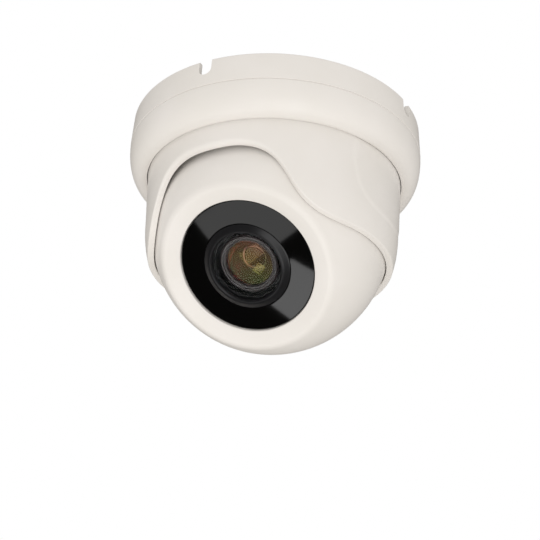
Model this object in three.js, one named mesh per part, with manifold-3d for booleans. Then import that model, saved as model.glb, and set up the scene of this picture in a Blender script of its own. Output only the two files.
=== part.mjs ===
// Turret dome camera, hung from a ceiling: a notched base, a collar that pans, a ball that tilts,
// and inside the ball a lens module that turns about its own axis.
// Millimetres, +Z up. The origin is the centre of the mounting face; the camera hangs below it.
// At rest the lens looks forward (-Y) and down.

import * as THREE from 'three';
import { mergeVertices } from 'three/addons/utils/BufferGeometryUtils.js';
import Module from 'manifold-3d';

const wasm = await Module();
wasm.setup();

// ---------------------------------------------------------------- driving dimensions

const GAP = 0.3; // clearance between pieces that touch or turn on each other

// facets round a full turn
const FINE = 40;
const MEDIUM = 24;
const COARSE = 12;
const TINY = 8;

// base
const BASE_LEDGE = 7.7; // from the lower opening out to the rim at the ceiling
const BASE_BULGE = 0.8; // the flank widens by this down to the crease
const CREASE_DEPTH = 13.4; // below the ceiling
const BASE_DEPTH = 28.4;
const BASE_WALL = 2.4;
const SHOULDER_POWER = 2.5; // roundness of the superelliptic shoulder
const BASE_TURN = -3; // degrees, how far the base is turned from the lens's forward direction
const NOTCH_COUNT = 4;
const NOTCH_WIDTH = 6.1;
const NOTCH_DEPTH = 7.4;
const PLATE_NOTCH_WIDTH = 15; // wider than the wall's, for the cable's bend
const PLATE_NOTCH_REACH = 12.6; // in from the wall
const PLATE_THICKNESS = 1.5;
const PLATE_OPENING_RADIUS = 30;
const OPENING_TO_GASKET = 1;
const GASKET_THICKNESS = 0.8;
const GASKET_WIDTH = 9;
const BOSS_RADIUS = 5.2;
const BOSS_DEPTH = 15;
const COVER_SCREW_COUNT = 3;
const COVER_SCREW_START = 45; // degrees from the front notch
const FIXING_HOLE_RADIUS = 2.5;
const FIXING_START = 15;
const SCREW_RADIUS = 1.5;
const SCREW_HEAD_RADIUS = 2.9;
const SCREW_HEAD_HEIGHT = 1.6;
const SCREW_HOLE_RADIUS = SCREW_RADIUS + GAP;

// collar
const COLLAR_WALL = 2.8;
const COLLAR_FLARE = 0.5; // how much wider the collar is at the seam than at the ball's equator
const COLLAR_SEAM_GAP = 0.7; // between the collar and the base's lower opening
const COLLAR_BALL_GAP = 0.5;
const COLLAR_LOW_EDGE = 69.0; // below the ceiling, at the sides and the back
const COLLAR_HIGH_EDGE = 38.2; // below the ceiling, in front
const COLLAR_TURN = -3.5; // degrees from the tilt plane to the middle of the collar's opening
const RING_THICKNESS = 2;
const RING_EDGE = 1.4; // inwards past its screw holes
const GLIDE_THICKNESS = 1;
const PAN_SCREW_COUNT = 3;
const PAN_SCREW_LENGTH = 6;

// ball
const BALL_RADIUS = 52.8;
const CEILING_CLEARANCE = 0.5; // above the ball
const BALL_WALL = 2.2;
const REAR_FLAT_DEPTH = 4.8; // of the flat at the ball's rear pole
const SEAM_BEHIND = 6.5; // the two shells meet this far behind the centre
const REAR_FLANGE = 2.5; // thickness at the seam
const FRONT_FLANGE = 4;
const SEAL_INSET = 0.8; // of the groove between the shells, in from the wall
const SEAL_WIDTH = 1.5;
const SHELL_SCREW_INSET = 3.4; // of the screw circle, in from the wall
const SHELL_SCREW_HEAD = 2.2;
const SHELL_FLANGE_WIDTH = 5.8; // of both shells, inwards at the seam
const GROMMET_HOLE = 5.5;
const GROMMET_BORE = 3;
const REST_TILT = 40.3; // degrees of the lens from straight down
const PIVOT_RADIUS = 1.5;
const BUSH_WALL = 1.1;
const BUSH_FLANGE_RADIUS = 4.6;
const BEZEL_RADIUS = 36.2; // where the sphere rounds over into the bezel
const BEZEL_WIDTH = 5.9;
const BEZEL_DIP = 1.5; // the bezel falls by this to the window
const BEZEL_INSET = 1.94; // of its outer edge, inside the sphere
const BEZEL_ROUND = 4.2; // how far out of that edge the sphere starts to round over

// black trim and window glass
const TRIM_RECESS = 1.0; // below the bezel's inner edge
const TRIM_THICKNESS = 1.5;
const TRIM_RISE = 0.6; // of the shallow cone, up to the raised ring's foot
const TRIM_RING_RADIUS = 19.2;
const TRIM_RING_HEIGHT = 1.8;
const TRIM_RING_BORE = 15.4;
const TRIM_SEAL_WIDTH = 2;
const GLASS_THICKNESS = 1.5;
const GLASS_LIP = 1.4; // how far the ring's lip covers the glass
const GLASS_RECESS = 1.9; // below the raised ring's top

// lens module, its heights counted from the ball's centre as the lens stands in this ball
const LENS_REACH = 33.6; // up to the window glass
const BRACKET_HEIGHT = 14;
const BRACKET_THICKNESS = 2;
const BRACKET_RADIUS = 36;
const BRACKET_SCREW_CIRCLE = 33;
const BRACKET_SCREW_LENGTH = 8;
const CARRIER_RADIUS = 20.5; // where it turns in the bracket
const CARRIER_FLANGE = 3;
const BARREL_RADIUS = 12.4;
const BARREL_WALL = 1.6;
const BARREL_TOP = 27.2;
const RING_WALL = 2.1; // of the zoom and focus rings
const ZOOM_RING_LOW = 18.2;
const FOCUS_RING_LOW = 22.9;
const LENS_RING_LENGTH = 3.8;
const LEVER_RADIUS = 1;
const LEVER_HEAD = 1.9;
const ZOOM_LEVER_ANGLE = 90; // degrees about the optical axis
const FOCUS_LEVER_ANGLE = 60;
const ZOOM_CELL_LOW = 14;
const FRONT_CELL_RADIUS = 13.2;
const FRONT_GLASS_RADIUS = 10.3;
const FRONT_GLASS_HEIGHT = 32;
const FRONT_CELL_TOP = 32.8;
const FOCUS_TRAVEL = 2.5;
const BOARD_SIZE = 38;
const BOARD_THICKNESS = 1.6;
const SENSOR_BOARD_HEIGHT = -3; // of its front face, from the ball's centre
const BOARD_PITCH = 10;
const SPACER_RADIUS = 2.5;
const SPACER_INSET = 4;
const MOUNT_SIZE = 26;
const MOUNT_HEIGHT = 12;
const MOUNT_BORE = 7;
const FILTER_WIDTH = 9; // across one of the two windows
const FILTER_TRAVEL = 9.6;
const FILTER_HEIGHT = 4.4;

// ---------------------------------------------------------------- solids

const radians = THREE.MathUtils.degToRad;

function toSolid(geometry) {
  const bare = geometry.clone();
  bare.deleteAttribute('normal');
  bare.deleteAttribute('uv');
  const merged = mergeVertices(bare, 1e-4);
  const mesh = new wasm.Mesh({
    numProp: 3,
    vertProperties: new Float32Array(merged.attributes.position.array),
    triVerts: new Uint32Array(merged.index.array),
  });
  return new wasm.Manifold(mesh);
}

function toGeometry(solid) {
  const mesh = solid.getMesh();
  const geometry = new THREE.BufferGeometry();
  geometry.setAttribute('position', new THREE.BufferAttribute(mesh.vertProperties, 3));
  geometry.setIndex(new THREE.BufferAttribute(mesh.triVerts, 1));
  geometry.computeVertexNormals();
  return geometry;
}

function cut(geometry, cutters) {
  const solid = cutters.reduce((rest, cutter) => rest.subtract(toSolid(cutter)), toSolid(geometry));
  return toGeometry(solid);
}

function join(geometry, additions) {
  const solid = additions.reduce((sum, addition) => sum.add(toSolid(addition)), toSolid(geometry));
  return toGeometry(solid);
}

// A closed outline of [radius, height] points, counter-clockwise, turned about Z.
function turned(outline, segments) {
  const points = outline.map(([radius, height]) => new THREE.Vector2(radius, height));
  const first = outline[0];
  if (first[0] > 0) points.push(points[0].clone());
  return new THREE.LatheGeometry(points, segments).rotateX(Math.PI / 2);
}

function tube(innerRadius, outerRadius, low, high, segments) {
  const outline = [[innerRadius, low], [outerRadius, low], [outerRadius, high], [innerRadius, high]];
  return turned(outline, segments);
}

function rod(radius, low, high, segments = COARSE) {
  return turned([[0, low], [radius, low], [radius, high], [0, high]], segments);
}

function box(width, depth, height, x, y, z) {
  return new THREE.BoxGeometry(width, depth, height).translate(x, y, z);
}

// Points on a circular arc in the radius-height plane, angles in degrees from the -Z direction.
function arc(radius, centreHeight, from, to, steps) {
  return Array.from({ length: steps + 1 }, (_, i) => {
    const angle = radians(from + ((to - from) * i) / steps);
    return [radius * Math.sin(angle), centreHeight - radius * Math.cos(angle)];
  });
}

// ---------------------------------------------------------------- sizes worked out from the above

const BALL_DEPTH = BALL_RADIUS + CEILING_CLEARANCE; // the ball's centre, below the ceiling
const BALL_SOCKET_RADIUS = BALL_RADIUS + COLLAR_BALL_GAP;
const COLLAR_RADIUS = BALL_SOCKET_RADIUS + COLLAR_WALL; // below the equator, about the ball's centre
const COLLAR_TOP_RADIUS = COLLAR_RADIUS + COLLAR_FLARE;
const OPENING_RADIUS = COLLAR_TOP_RADIUS + COLLAR_SEAM_GAP; // the base's lower opening
const BASE_RADIUS = OPENING_RADIUS + BASE_LEDGE; // at the ceiling
const LIP_TOP = -BASE_DEPTH + BASE_WALL;
const LIP_WIDTH = 3;
const GLIDE_LOW = LIP_TOP + GAP / 3;
const COLLAR_TOP = GLIDE_LOW + GLIDE_THICKNESS;
const RING_LOW = COLLAR_TOP + GAP / 3;
const PLATE_TOP = -GASKET_THICKNESS;
const PLATE_LOW = PLATE_TOP - PLATE_THICKNESS;
const BOSS_CIRCLE = BASE_RADIUS - BOSS_RADIUS - BASE_WALL / 2;
const PAN_BOSS_RADIUS = 2 * SCREW_RADIUS;
const PAN_BOSS_LOW = COLLAR_TOP - PAN_SCREW_LENGTH;
const PAN_SCREW_CIRCLE = BALL_SOCKET_RADIUS - SCREW_RADIUS;
const RING_INNER_RADIUS = PAN_SCREW_CIRCLE - SCREW_HOLE_RADIUS - RING_EDGE;
const INNER_RADIUS = BALL_RADIUS - BALL_WALL;
const REAR_FLAT = BALL_RADIUS - REAR_FLAT_DEPTH;
const SHELL_FLANGE_RADIUS = INNER_RADIUS - SHELL_FLANGE_WIDTH;
const SHELL_SCREW_CIRCLE = INNER_RADIUS - SHELL_SCREW_INSET;
const SEAL_RADIUS = INNER_RADIUS - SEAL_INSET;
const BUSH_RADIUS = PIVOT_RADIUS + GAP + BUSH_WALL;
const BEZEL_HEIGHT = Math.sqrt(BALL_RADIUS ** 2 - BEZEL_RADIUS ** 2) - BEZEL_INSET;
const WINDOW_RADIUS = BEZEL_RADIUS - BEZEL_WIDTH;
const WINDOW_HEIGHT = BEZEL_HEIGHT - BEZEL_DIP;
const TRIM_EDGE_TOP = WINDOW_HEIGHT - TRIM_RECESS;
const TRIM_LOW = TRIM_EDGE_TOP - TRIM_THICKNESS;
const SEAT_TOP = TRIM_LOW - 1;
const SEAT_THICKNESS = 2;
const SEAT_RADIUS = WINDOW_RADIUS - 3;
const GLASS_RADIUS = TRIM_RING_BORE + GLASS_LIP;
const TRIM_RING_FOOT = TRIM_EDGE_TOP + TRIM_RISE;
const TRIM_RING_TOP = TRIM_RING_FOOT + TRIM_RING_HEIGHT;
const GLASS_TOP = TRIM_RING_TOP - GLASS_RECESS;
const GLASS_LOW = GLASS_TOP - GLASS_THICKNESS;
const LENS_SHIFT = GLASS_LOW - LENS_REACH; // of the lens module and its bracket, forward
const BARREL_LOW = SENSOR_BOARD_HEIGHT + MOUNT_HEIGHT + 2 * GAP;

// ---------------------------------------------------------------- base

function around(count, radius, startDegrees, place) {
  return Array.from({ length: count }, (_, i) => {
    const angle = radians(startDegrees + (360 * i) / count);
    return place(radius * Math.sin(angle), -radius * Math.cos(angle), angle);
  });
}

// A quarter of a superellipse from the crease down to the lip.
function shoulder(creaseRadius, lipRadius, lipHeight, steps) {
  return Array.from({ length: steps + 1 }, (_, i) => {
    const t = (Math.PI / 2) * (1 - i / steps);
    const reach = Math.max(Math.cos(t), 0) ** (2 / SHOULDER_POWER);
    const drop = Math.sin(t) ** (2 / SHOULDER_POWER);
    const radius = lipRadius + (creaseRadius - lipRadius) * reach;
    return [radius, -CREASE_DEPTH + (lipHeight + CREASE_DEPTH) * drop];
  });
}

function baseCover() {
  const creaseRadius = BASE_RADIUS + BASE_BULGE;
  const outside = shoulder(creaseRadius, OPENING_RADIUS, -BASE_DEPTH, 5);
  const inside = shoulder(creaseRadius - BASE_WALL, OPENING_RADIUS + LIP_WIDTH, LIP_TOP, 3);
  const outline = [
    ...outside,
    [BASE_RADIUS, 0],
    [BASE_RADIUS - BASE_WALL, 0],
    ...inside.reverse(),
    [OPENING_RADIUS, LIP_TOP],
  ];
  const bossTop = PLATE_LOW - GAP;
  const bosses = around(COVER_SCREW_COUNT, BOSS_CIRCLE, COVER_SCREW_START, (x, y) =>
    rod(BOSS_RADIUS, -BOSS_DEPTH, bossTop).translate(x, y, 0));
  const holes = around(COVER_SCREW_COUNT, BOSS_CIRCLE, COVER_SCREW_START, (x, y) =>
    rod(SCREW_HOLE_RADIUS, 3 - BOSS_DEPTH, 0, TINY).translate(x, y, 0));
  const notches = around(NOTCH_COUNT, BASE_RADIUS, 0, (x, y, angle) =>
    notch(NOTCH_WIDTH, BASE_WALL).rotateZ(angle));
  return cut(join(turned(outline, FINE), bosses), [...holes, ...notches]);
}

// A slot with a round end, cut down from the rim on the -Y side, reaching in past the wall.
function notch(width, reach) {
  const half = width / 2;
  const shape = new THREE.Shape();
  shape.moveTo(-half, 1);
  shape.lineTo(-half, half - NOTCH_DEPTH);
  shape.absarc(0, half - NOTCH_DEPTH, half, Math.PI, 2 * Math.PI, false);
  shape.lineTo(half, 1);
  const inside = BASE_WALL + reach;
  const depth = inside + BASE_WALL;
  const slot = new THREE.ExtrudeGeometry(shape, { depth, bevelEnabled: false, curveSegments: 6 });
  return slot.rotateX(Math.PI / 2).translate(0, inside - BASE_RADIUS, 0);
}

function mountPlate() {
  const radius = BASE_RADIUS - BASE_WALL - GAP;
  const blank = tube(PLATE_OPENING_RADIUS, radius, PLATE_LOW, PLATE_TOP, FINE);
  const head = SCREW_HEAD_RADIUS + GAP;
  const sink = [[0, PLATE_LOW - 1], [SCREW_HOLE_RADIUS, PLATE_LOW - 1], [SCREW_HOLE_RADIUS, PLATE_LOW],
    [head, PLATE_TOP], [head, 1], [0, 1]];
  const sinks = around(COVER_SCREW_COUNT, BOSS_CIRCLE, COVER_SCREW_START, (x, y) =>
    turned(sink, COARSE).translate(x, y, 0));
  const fixingCircle = (radius + PLATE_OPENING_RADIUS + GASKET_WIDTH) / 2;
  const fixings = around(3, fixingCircle, FIXING_START, (x, y) =>
    rod(FIXING_HOLE_RADIUS, PLATE_LOW - 1, 1, COARSE).translate(x, y, 0));
  const notches = around(NOTCH_COUNT, BASE_RADIUS, 0, (x, y, angle) =>
    notch(PLATE_NOTCH_WIDTH, PLATE_NOTCH_REACH).rotateZ(angle));
  return cut(blank, [...sinks, ...fixings, ...notches]);
}

function plateGasket() {
  const inner = PLATE_OPENING_RADIUS + OPENING_TO_GASKET;
  return tube(inner, inner + GASKET_WIDTH, PLATE_TOP + GAP / 3, 0, FINE);
}

function coverScrew() {
  const top = PLATE_TOP - GAP / 3;
  const neck = PLATE_LOW + GAP / 3;
  const outline = [[0, 5 - BOSS_DEPTH], [SCREW_RADIUS, 5 - BOSS_DEPTH], [SCREW_RADIUS, neck],
    [SCREW_HEAD_RADIUS, top], [0, top]];
  return turned(outline, TINY);
}

function glideRing() {
  return tube(OPENING_RADIUS + GAP, OPENING_RADIUS + LIP_WIDTH - GAP, GLIDE_LOW, COLLAR_TOP, FINE);
}

// ---------------------------------------------------------------- collar

// The collar's lower edge, one side from the high front to the low side, as [degrees, height] points.
function collarEdge(steps) {
  const drop = COLLAR_LOW_EDGE - COLLAR_HIGH_EDGE;
  const curve = new THREE.CubicBezierCurve(
    new THREE.Vector2(6, 0),
    new THREE.Vector2(46, 0),
    new THREE.Vector2(25, 1),
    new THREE.Vector2(66, 1),
  );
  return curve.getPoints(steps).map((point) => [point.x, -COLLAR_HIGH_EDGE - drop * point.y]);
}

function collarCutter() {
  const reach = 2 * COLLAR_RADIUS;
  const side = collarEdge(9).map(([degrees, height]) => [COLLAR_RADIUS * Math.sin(radians(degrees)), height]);
  const shape = new THREE.Shape();
  shape.moveTo(-reach, -reach);
  shape.lineTo(reach, -reach);
  shape.lineTo(reach, -COLLAR_LOW_EDGE);
  side.reverse().forEach(([x, height]) => shape.lineTo(x, height));
  side.reverse().forEach(([x, height]) => shape.lineTo(-x, height));
  shape.lineTo(-reach, -COLLAR_LOW_EDGE);
  const cutter = new THREE.ExtrudeGeometry(shape, { depth: reach, bevelEnabled: false });
  return cutter.rotateX(Math.PI / 2).rotateZ(radians(COLLAR_TURN));
}

function collarShell() {
  const below = COLLAR_LOW_EDGE - BALL_DEPTH;
  const outerAngle = THREE.MathUtils.radToDeg(Math.asin(below / COLLAR_RADIUS));
  const innerAngle = THREE.MathUtils.radToDeg(Math.asin(below / BALL_SOCKET_RADIUS));
  const outline = [
    ...arc(BALL_SOCKET_RADIUS, -BALL_DEPTH, 90, 90 - innerAngle, 3),
    ...arc(COLLAR_RADIUS, -BALL_DEPTH, 90 - outerAngle, 90, 3),
    [COLLAR_TOP_RADIUS, -BASE_DEPTH],
    [COLLAR_TOP_RADIUS, COLLAR_TOP],
    [BALL_SOCKET_RADIUS, COLLAR_TOP],
  ];
  const ballSpace = turned(arc(BALL_SOCKET_RADIUS, -BALL_DEPTH, 0, 180, 16), FINE);
  const bosses = around(PAN_SCREW_COUNT, PAN_SCREW_CIRCLE, 0, (x, y) =>
    cut(rod(PAN_BOSS_RADIUS, PAN_BOSS_LOW, COLLAR_TOP, TINY).translate(x, y, 0), [ballSpace]));
  const holes = around(PAN_SCREW_COUNT, PAN_SCREW_CIRCLE, 0, (x, y) =>
    rod(SCREW_HOLE_RADIUS, PAN_BOSS_LOW + 1, COLLAR_TOP + 1, TINY).translate(x, y, 0));
  const pivots = [1, -1].map((side) =>
    alongX(rod(PIVOT_RADIUS + GAP, 0, COLLAR_RADIUS - 0.6, COARSE), side).translate(0, 0, -BALL_DEPTH));
  return cut(join(turned(outline, FINE), bosses), [collarCutter(), ...holes, ...pivots]);
}

// Turns a piece made along +Z to lie along +X (side 1) or -X (side -1).
function alongX(geometry, side) {
  return geometry.rotateY((side * Math.PI) / 2);
}

function retainingRing() {
  const outer = OPENING_RADIUS + LIP_WIDTH - GAP;
  const blank = tube(RING_INNER_RADIUS, outer, RING_LOW, RING_LOW + RING_THICKNESS, FINE);
  const holes = around(PAN_SCREW_COUNT, PAN_SCREW_CIRCLE, 0, (x, y) =>
    rod(SCREW_HOLE_RADIUS, RING_LOW - 1, RING_LOW + RING_THICKNESS + 1, TINY).translate(x, y, 0));
  return cut(blank, holes);
}

// A pan-head screw pointing down, its head's underside at height zero.
function screw(length, headRadius = SCREW_HEAD_RADIUS) {
  const outline = [[0, -length], [SCREW_RADIUS, -length], [SCREW_RADIUS, 0], [headRadius, 0],
    [headRadius, SCREW_HEAD_HEIGHT * 0.6], [headRadius * 0.7, SCREW_HEAD_HEIGHT], [0, SCREW_HEAD_HEIGHT]];
  return turned(outline, TINY);
}

function swivelSeal() {
  const middle = -BASE_DEPTH + BASE_WALL / 2;
  return tube(COLLAR_TOP_RADIUS + 0.1, OPENING_RADIUS - 0.3, middle - 0.4, middle + 0.4, FINE);
}

// The ball's pivot, along +X or -X: head inside the ball, tip in the collar's wall.
function pivotScrew(side) {
  const tip = COLLAR_RADIUS - 0.9;
  const neck = INNER_RADIUS - 2.2;
  return alongX(screw(tip - neck).rotateX(Math.PI).translate(0, 0, neck), side);
}

// ---------------------------------------------------------------- ball
// Its pieces are made about their own axis: +Z is the optical axis, the origin is the ball's centre.

// Points on a sphere's outline between two heights.
function sphereArc(radius, from, to, steps) {
  const angleAt = (height) => 180 - THREE.MathUtils.radToDeg(Math.acos(height / radius));
  return arc(radius, 0, angleAt(from), angleAt(to), steps);
}

function pivotHoles(radius, from, to) {
  return [1, -1].map((side) => alongX(rod(radius, from, to, COARSE), side));
}

function ballFrontShell() {
  const seatLow = SEAT_TOP - SEAT_THICKNESS;
  const flangeTop = FRONT_FLANGE - SEAM_BEHIND;
  const postFoot = LENS_SHIFT + BRACKET_HEIGHT + BRACKET_THICKNESS + GAP;
  const roundRadius = BEZEL_RADIUS + BEZEL_ROUND;
  const roundHeight = Math.sqrt(BALL_RADIUS ** 2 - roundRadius ** 2);
  const round = new THREE.QuadraticBezierCurve(
    new THREE.Vector2(roundRadius, roundHeight),
    new THREE.Vector2(BEZEL_RADIUS + BEZEL_ROUND / 2, BEZEL_HEIGHT + BEZEL_DIP / 3),
    new THREE.Vector2(BEZEL_RADIUS, BEZEL_HEIGHT),
  );
  const outline = [
    [SEAT_RADIUS, seatLow],
    ...sphereArc(INNER_RADIUS, seatLow, flangeTop, 4),
    [SHELL_FLANGE_RADIUS, flangeTop],
    [SHELL_FLANGE_RADIUS, -SEAM_BEHIND],
    ...sphereArc(BALL_RADIUS, -SEAM_BEHIND, roundHeight, 6),
    ...round.getPoints(3).slice(1).map((point) => [point.x, point.y]),
    [WINDOW_RADIUS, WINDOW_HEIGHT],
    [WINDOW_RADIUS, SEAT_TOP],
    [SEAT_RADIUS, SEAT_TOP],
  ];
  const posts = around(3, BRACKET_SCREW_CIRCLE, 0, (x, y) =>
    rod(2 * SCREW_RADIUS, postFoot, SEAT_TOP - 1, TINY).translate(x, y, 0));
  const postHoles = around(3, BRACKET_SCREW_CIRCLE, 0, (x, y) =>
    rod(SCREW_HOLE_RADIUS, postFoot - 1, postFoot + BRACKET_SCREW_LENGTH, TINY).translate(x, y, 0));
  const seamHoles = around(3, SHELL_SCREW_CIRCLE, 60, (x, y) =>
    rod(SCREW_HOLE_RADIUS, -SEAM_BEHIND - 1, 3 - SEAM_BEHIND, TINY).translate(x, y, 0));
  const cutters = [
    ...postHoles,
    ...seamHoles,
    ...pivotHoles(BUSH_RADIUS + GAP, 0, 2 * BALL_RADIUS),
    ...pivotHoles(BUSH_FLANGE_RADIUS + GAP, 0, INNER_RADIUS - 0.5),
  ];
  return cut(join(turned(outline, FINE), posts), cutters);
}

function ballRearShell() {
  const top = -SEAM_BEHIND - GAP;
  const low = top - REAR_FLANGE;
  const flatInside = BALL_WALL - REAR_FLAT;
  const outside = sphereArc(BALL_RADIUS, -REAR_FLAT, top, 5);
  const outline = [
    [SHELL_FLANGE_RADIUS, top],
    [SHELL_FLANGE_RADIUS, low],
    ...sphereArc(INNER_RADIUS, low, flatInside, 4),
    [GROMMET_HOLE, flatInside],
    [GROMMET_HOLE, -REAR_FLAT],
    ...outside,
    [SEAL_RADIUS + SEAL_WIDTH, top],
    [SEAL_RADIUS + SEAL_WIDTH, top - 1.2],
    [SEAL_RADIUS, top - 1.2],
    [SEAL_RADIUS, top],
  ];
  const pocket = SHELL_SCREW_HEAD + GAP;
  const towers = around(3, SHELL_SCREW_CIRCLE, 60, (x, y) =>
    rod(pocket + 1.2, -REAR_FLAT / 2, low + 1, COARSE).translate(x, y, 0));
  const beyond = [...outside, [2 * BALL_RADIUS, top], [2 * BALL_RADIUS, -REAR_FLAT]];
  const pockets = around(3, SHELL_SCREW_CIRCLE, 60, (x, y) =>
    rod(pocket, -REAR_FLAT, low, COARSE).translate(x, y, 0));
  const holes = around(3, SHELL_SCREW_CIRCLE, 60, (x, y) =>
    rod(SCREW_HOLE_RADIUS, low - 1, top + 1, TINY).translate(x, y, 0));
  return cut(join(turned(outline, FINE), towers), [turned(beyond.reverse(), FINE), ...pockets, ...holes]);
}

function ballSeal() {
  const top = -SEAM_BEHIND - GAP;
  return tube(SEAL_RADIUS + GAP, SEAL_RADIUS + SEAL_WIDTH - GAP, top - 0.9, top, FINE);
}

function shellScrew() {
  const seat = -SEAM_BEHIND - 2 * GAP - REAR_FLANGE;
  return screw(REAR_FLANGE + 2, SHELL_SCREW_HEAD).rotateX(Math.PI).translate(0, 0, seat);
}

function pivotBush(side) {
  const flangeLow = INNER_RADIUS - 1.9;
  const flangeTop = INNER_RADIUS - 0.8;
  const bore = PIVOT_RADIUS + GAP;
  const outline = [[bore, flangeLow], [BUSH_FLANGE_RADIUS, flangeLow], [BUSH_FLANGE_RADIUS, flangeTop],
    [BUSH_RADIUS, flangeTop], [BUSH_RADIUS, BALL_RADIUS - 0.3], [bore, BALL_RADIUS - 0.3]];
  return alongX(turned(outline, COARSE), side);
}

function frontTrim() {
  const outline = [
    [GLASS_RADIUS + GAP, TRIM_LOW],
    [WINDOW_RADIUS - GAP, TRIM_LOW],
    [WINDOW_RADIUS - GAP, TRIM_EDGE_TOP],
    [TRIM_RING_RADIUS, TRIM_RING_FOOT],
    [TRIM_RING_BORE + 1.2, TRIM_RING_TOP - 0.1],
    [TRIM_RING_BORE + 0.5, TRIM_RING_TOP],
    [TRIM_RING_BORE, TRIM_RING_TOP - 0.4],
    [TRIM_RING_BORE, GLASS_TOP + GAP / 2],
    [GLASS_RADIUS + GAP, GLASS_TOP + GAP / 2],
  ];
  return turned(outline, FINE);
}

function trimGasket() {
  return tube(SEAT_RADIUS + GAP, WINDOW_RADIUS - 2 * GAP, SEAT_TOP + GAP / 2, TRIM_LOW - GAP / 2, FINE);
}

function frontGlass() {
  return rod(GLASS_RADIUS, GLASS_LOW, GLASS_TOP, FINE);
}

function glassSeal() {
  return tube(GLASS_RADIUS - TRIM_SEAL_WIDTH, GLASS_RADIUS, GLASS_LOW - 1.3, GLASS_LOW - GAP / 2, MEDIUM);
}

function bracket() {
  const top = BRACKET_HEIGHT + BRACKET_THICKNESS;
  const holes = around(3, BRACKET_SCREW_CIRCLE, 0, (x, y) =>
    rod(SCREW_HOLE_RADIUS, BRACKET_HEIGHT - 1, top + 1, TINY).translate(x, y, 0));
  return cut(tube(CARRIER_RADIUS + GAP, BRACKET_RADIUS, BRACKET_HEIGHT, top, MEDIUM), holes);
}

function bracketScrew() {
  return screw(BRACKET_SCREW_LENGTH).rotateX(Math.PI).translate(0, 0, BRACKET_HEIGHT - GAP / 2);
}

// A rubber grommet in the rear shell's pole, gripping the wall between two flanges.
function cableGrommet() {
  const wallOutside = -REAR_FLAT - GAP / 2;
  const wallInside = BALL_WALL - REAR_FLAT + GAP / 2;
  const outline = [
    [GROMMET_BORE, wallOutside - 1.4],
    [GROMMET_HOLE + 2, wallOutside - 1.4],
    [GROMMET_HOLE + 2, wallOutside],
    [GROMMET_HOLE - GAP, wallOutside],
    [GROMMET_HOLE - GAP, wallInside],
    [GROMMET_HOLE + 1.3, wallInside],
    [GROMMET_HOLE + 1.3, wallInside + 1],
    [GROMMET_BORE, wallInside + 1],
  ];
  return turned(outline, COARSE);
}

// ---------------------------------------------------------------- lens module

function lensCarrier() {
  const low = BRACKET_HEIGHT - GAP;
  const shoulderLow = BRACKET_HEIGHT + BRACKET_THICKNESS + GAP;
  const bore = BARREL_RADIUS + GAP;
  const flange = CARRIER_RADIUS + CARRIER_FLANGE;
  const outline = [[bore, low], [CARRIER_RADIUS, low], [CARRIER_RADIUS, shoulderLow],
    [flange, shoulderLow], [flange, shoulderLow + 1.5], [bore, shoulderLow + 1.5]];
  return turned(outline, MEDIUM);
}

function carrierClip() {
  const top = BRACKET_HEIGHT - 2 * GAP;
  return tube(CARRIER_RADIUS - 5, CARRIER_RADIUS + CARRIER_FLANGE, top - 1.4, top, MEDIUM);
}

function board(top) {
  return box(BOARD_SIZE, BOARD_SIZE, BOARD_THICKNESS, 0, 0, top - BOARD_THICKNESS / 2);
}

function boardSpacer() {
  const high = SENSOR_BOARD_HEIGHT - BOARD_THICKNESS - GAP / 2;
  const low = SENSOR_BOARD_HEIGHT - BOARD_PITCH + GAP / 2;
  return rod(SPACER_RADIUS, low, high, 6);
}

function imageSensor() {
  return box(10, 8, 1.4, 0, 0, SENSOR_BOARD_HEIGHT + 0.8);
}

function processor() {
  const under = SENSOR_BOARD_HEIGHT - BOARD_PITCH - BOARD_THICKNESS;
  return box(13, 13, 1.4, 0, -4, under - 0.8);
}

function boardConnector() {
  const under = SENSOR_BOARD_HEIGHT - BOARD_PITCH - BOARD_THICKNESS;
  return box(15, 5, 6, 0, 12, under - 3.1);
}

function lensMount() {
  const low = SENSOR_BOARD_HEIGHT + GAP;
  const high = low + MOUNT_HEIGHT;
  const block = box(MOUNT_SIZE, MOUNT_SIZE, MOUNT_HEIGHT, 0, 0, (low + high) / 2);
  const cavity = box(MOUNT_SIZE - 8, MOUNT_SIZE - 8, 10, 0, 0, FILTER_HEIGHT - 6.5);
  const slot = box(2 * MOUNT_SIZE, FILTER_WIDTH + 5, 2.6, 0, 0, FILTER_HEIGHT);
  const bore = rod(MOUNT_BORE, low, high + 1, COARSE);
  return cut(block, [cavity, slot, bore]);
}

function filterFrame() {
  const length = FILTER_TRAVEL + FILTER_WIDTH + 4;
  const blank = box(length, FILTER_WIDTH + 4, 2, FILTER_TRAVEL / 2, 0, FILTER_HEIGHT);
  const windows = [0, FILTER_TRAVEL].map((x) =>
    box(FILTER_WIDTH - 1.2, FILTER_WIDTH, 4, x, 0, FILTER_HEIGHT));
  return cut(blank, windows);
}

function filterGlass(x) {
  return box(FILTER_WIDTH - 1.2 - GAP, FILTER_WIDTH - GAP, 0.7, x, 0, FILTER_HEIGHT);
}

function filterCoil() {
  return box(12, 6, 7, 0, MOUNT_SIZE / 2 + 3.2, FILTER_HEIGHT);
}

function lensBarrel() {
  return tube(BARREL_RADIUS - BARREL_WALL, BARREL_RADIUS, BARREL_LOW, BARREL_TOP, MEDIUM);
}

function irisPlate() {
  return tube(3, BARREL_RADIUS - BARREL_WALL - GAP, BARREL_LOW + 0.3, BARREL_LOW + 1.1, COARSE);
}

function rearLens() {
  const high = SENSOR_BOARD_HEIGHT + GAP + MOUNT_HEIGHT;
  const radius = MOUNT_BORE - GAP;
  const outline = [[0, high - 3], [radius, high - 2.4], [radius, high - 1.2], [radius * 0.6, high - 0.5],
    [0, high - 0.2]];
  return turned(outline, COARSE);
}

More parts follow.
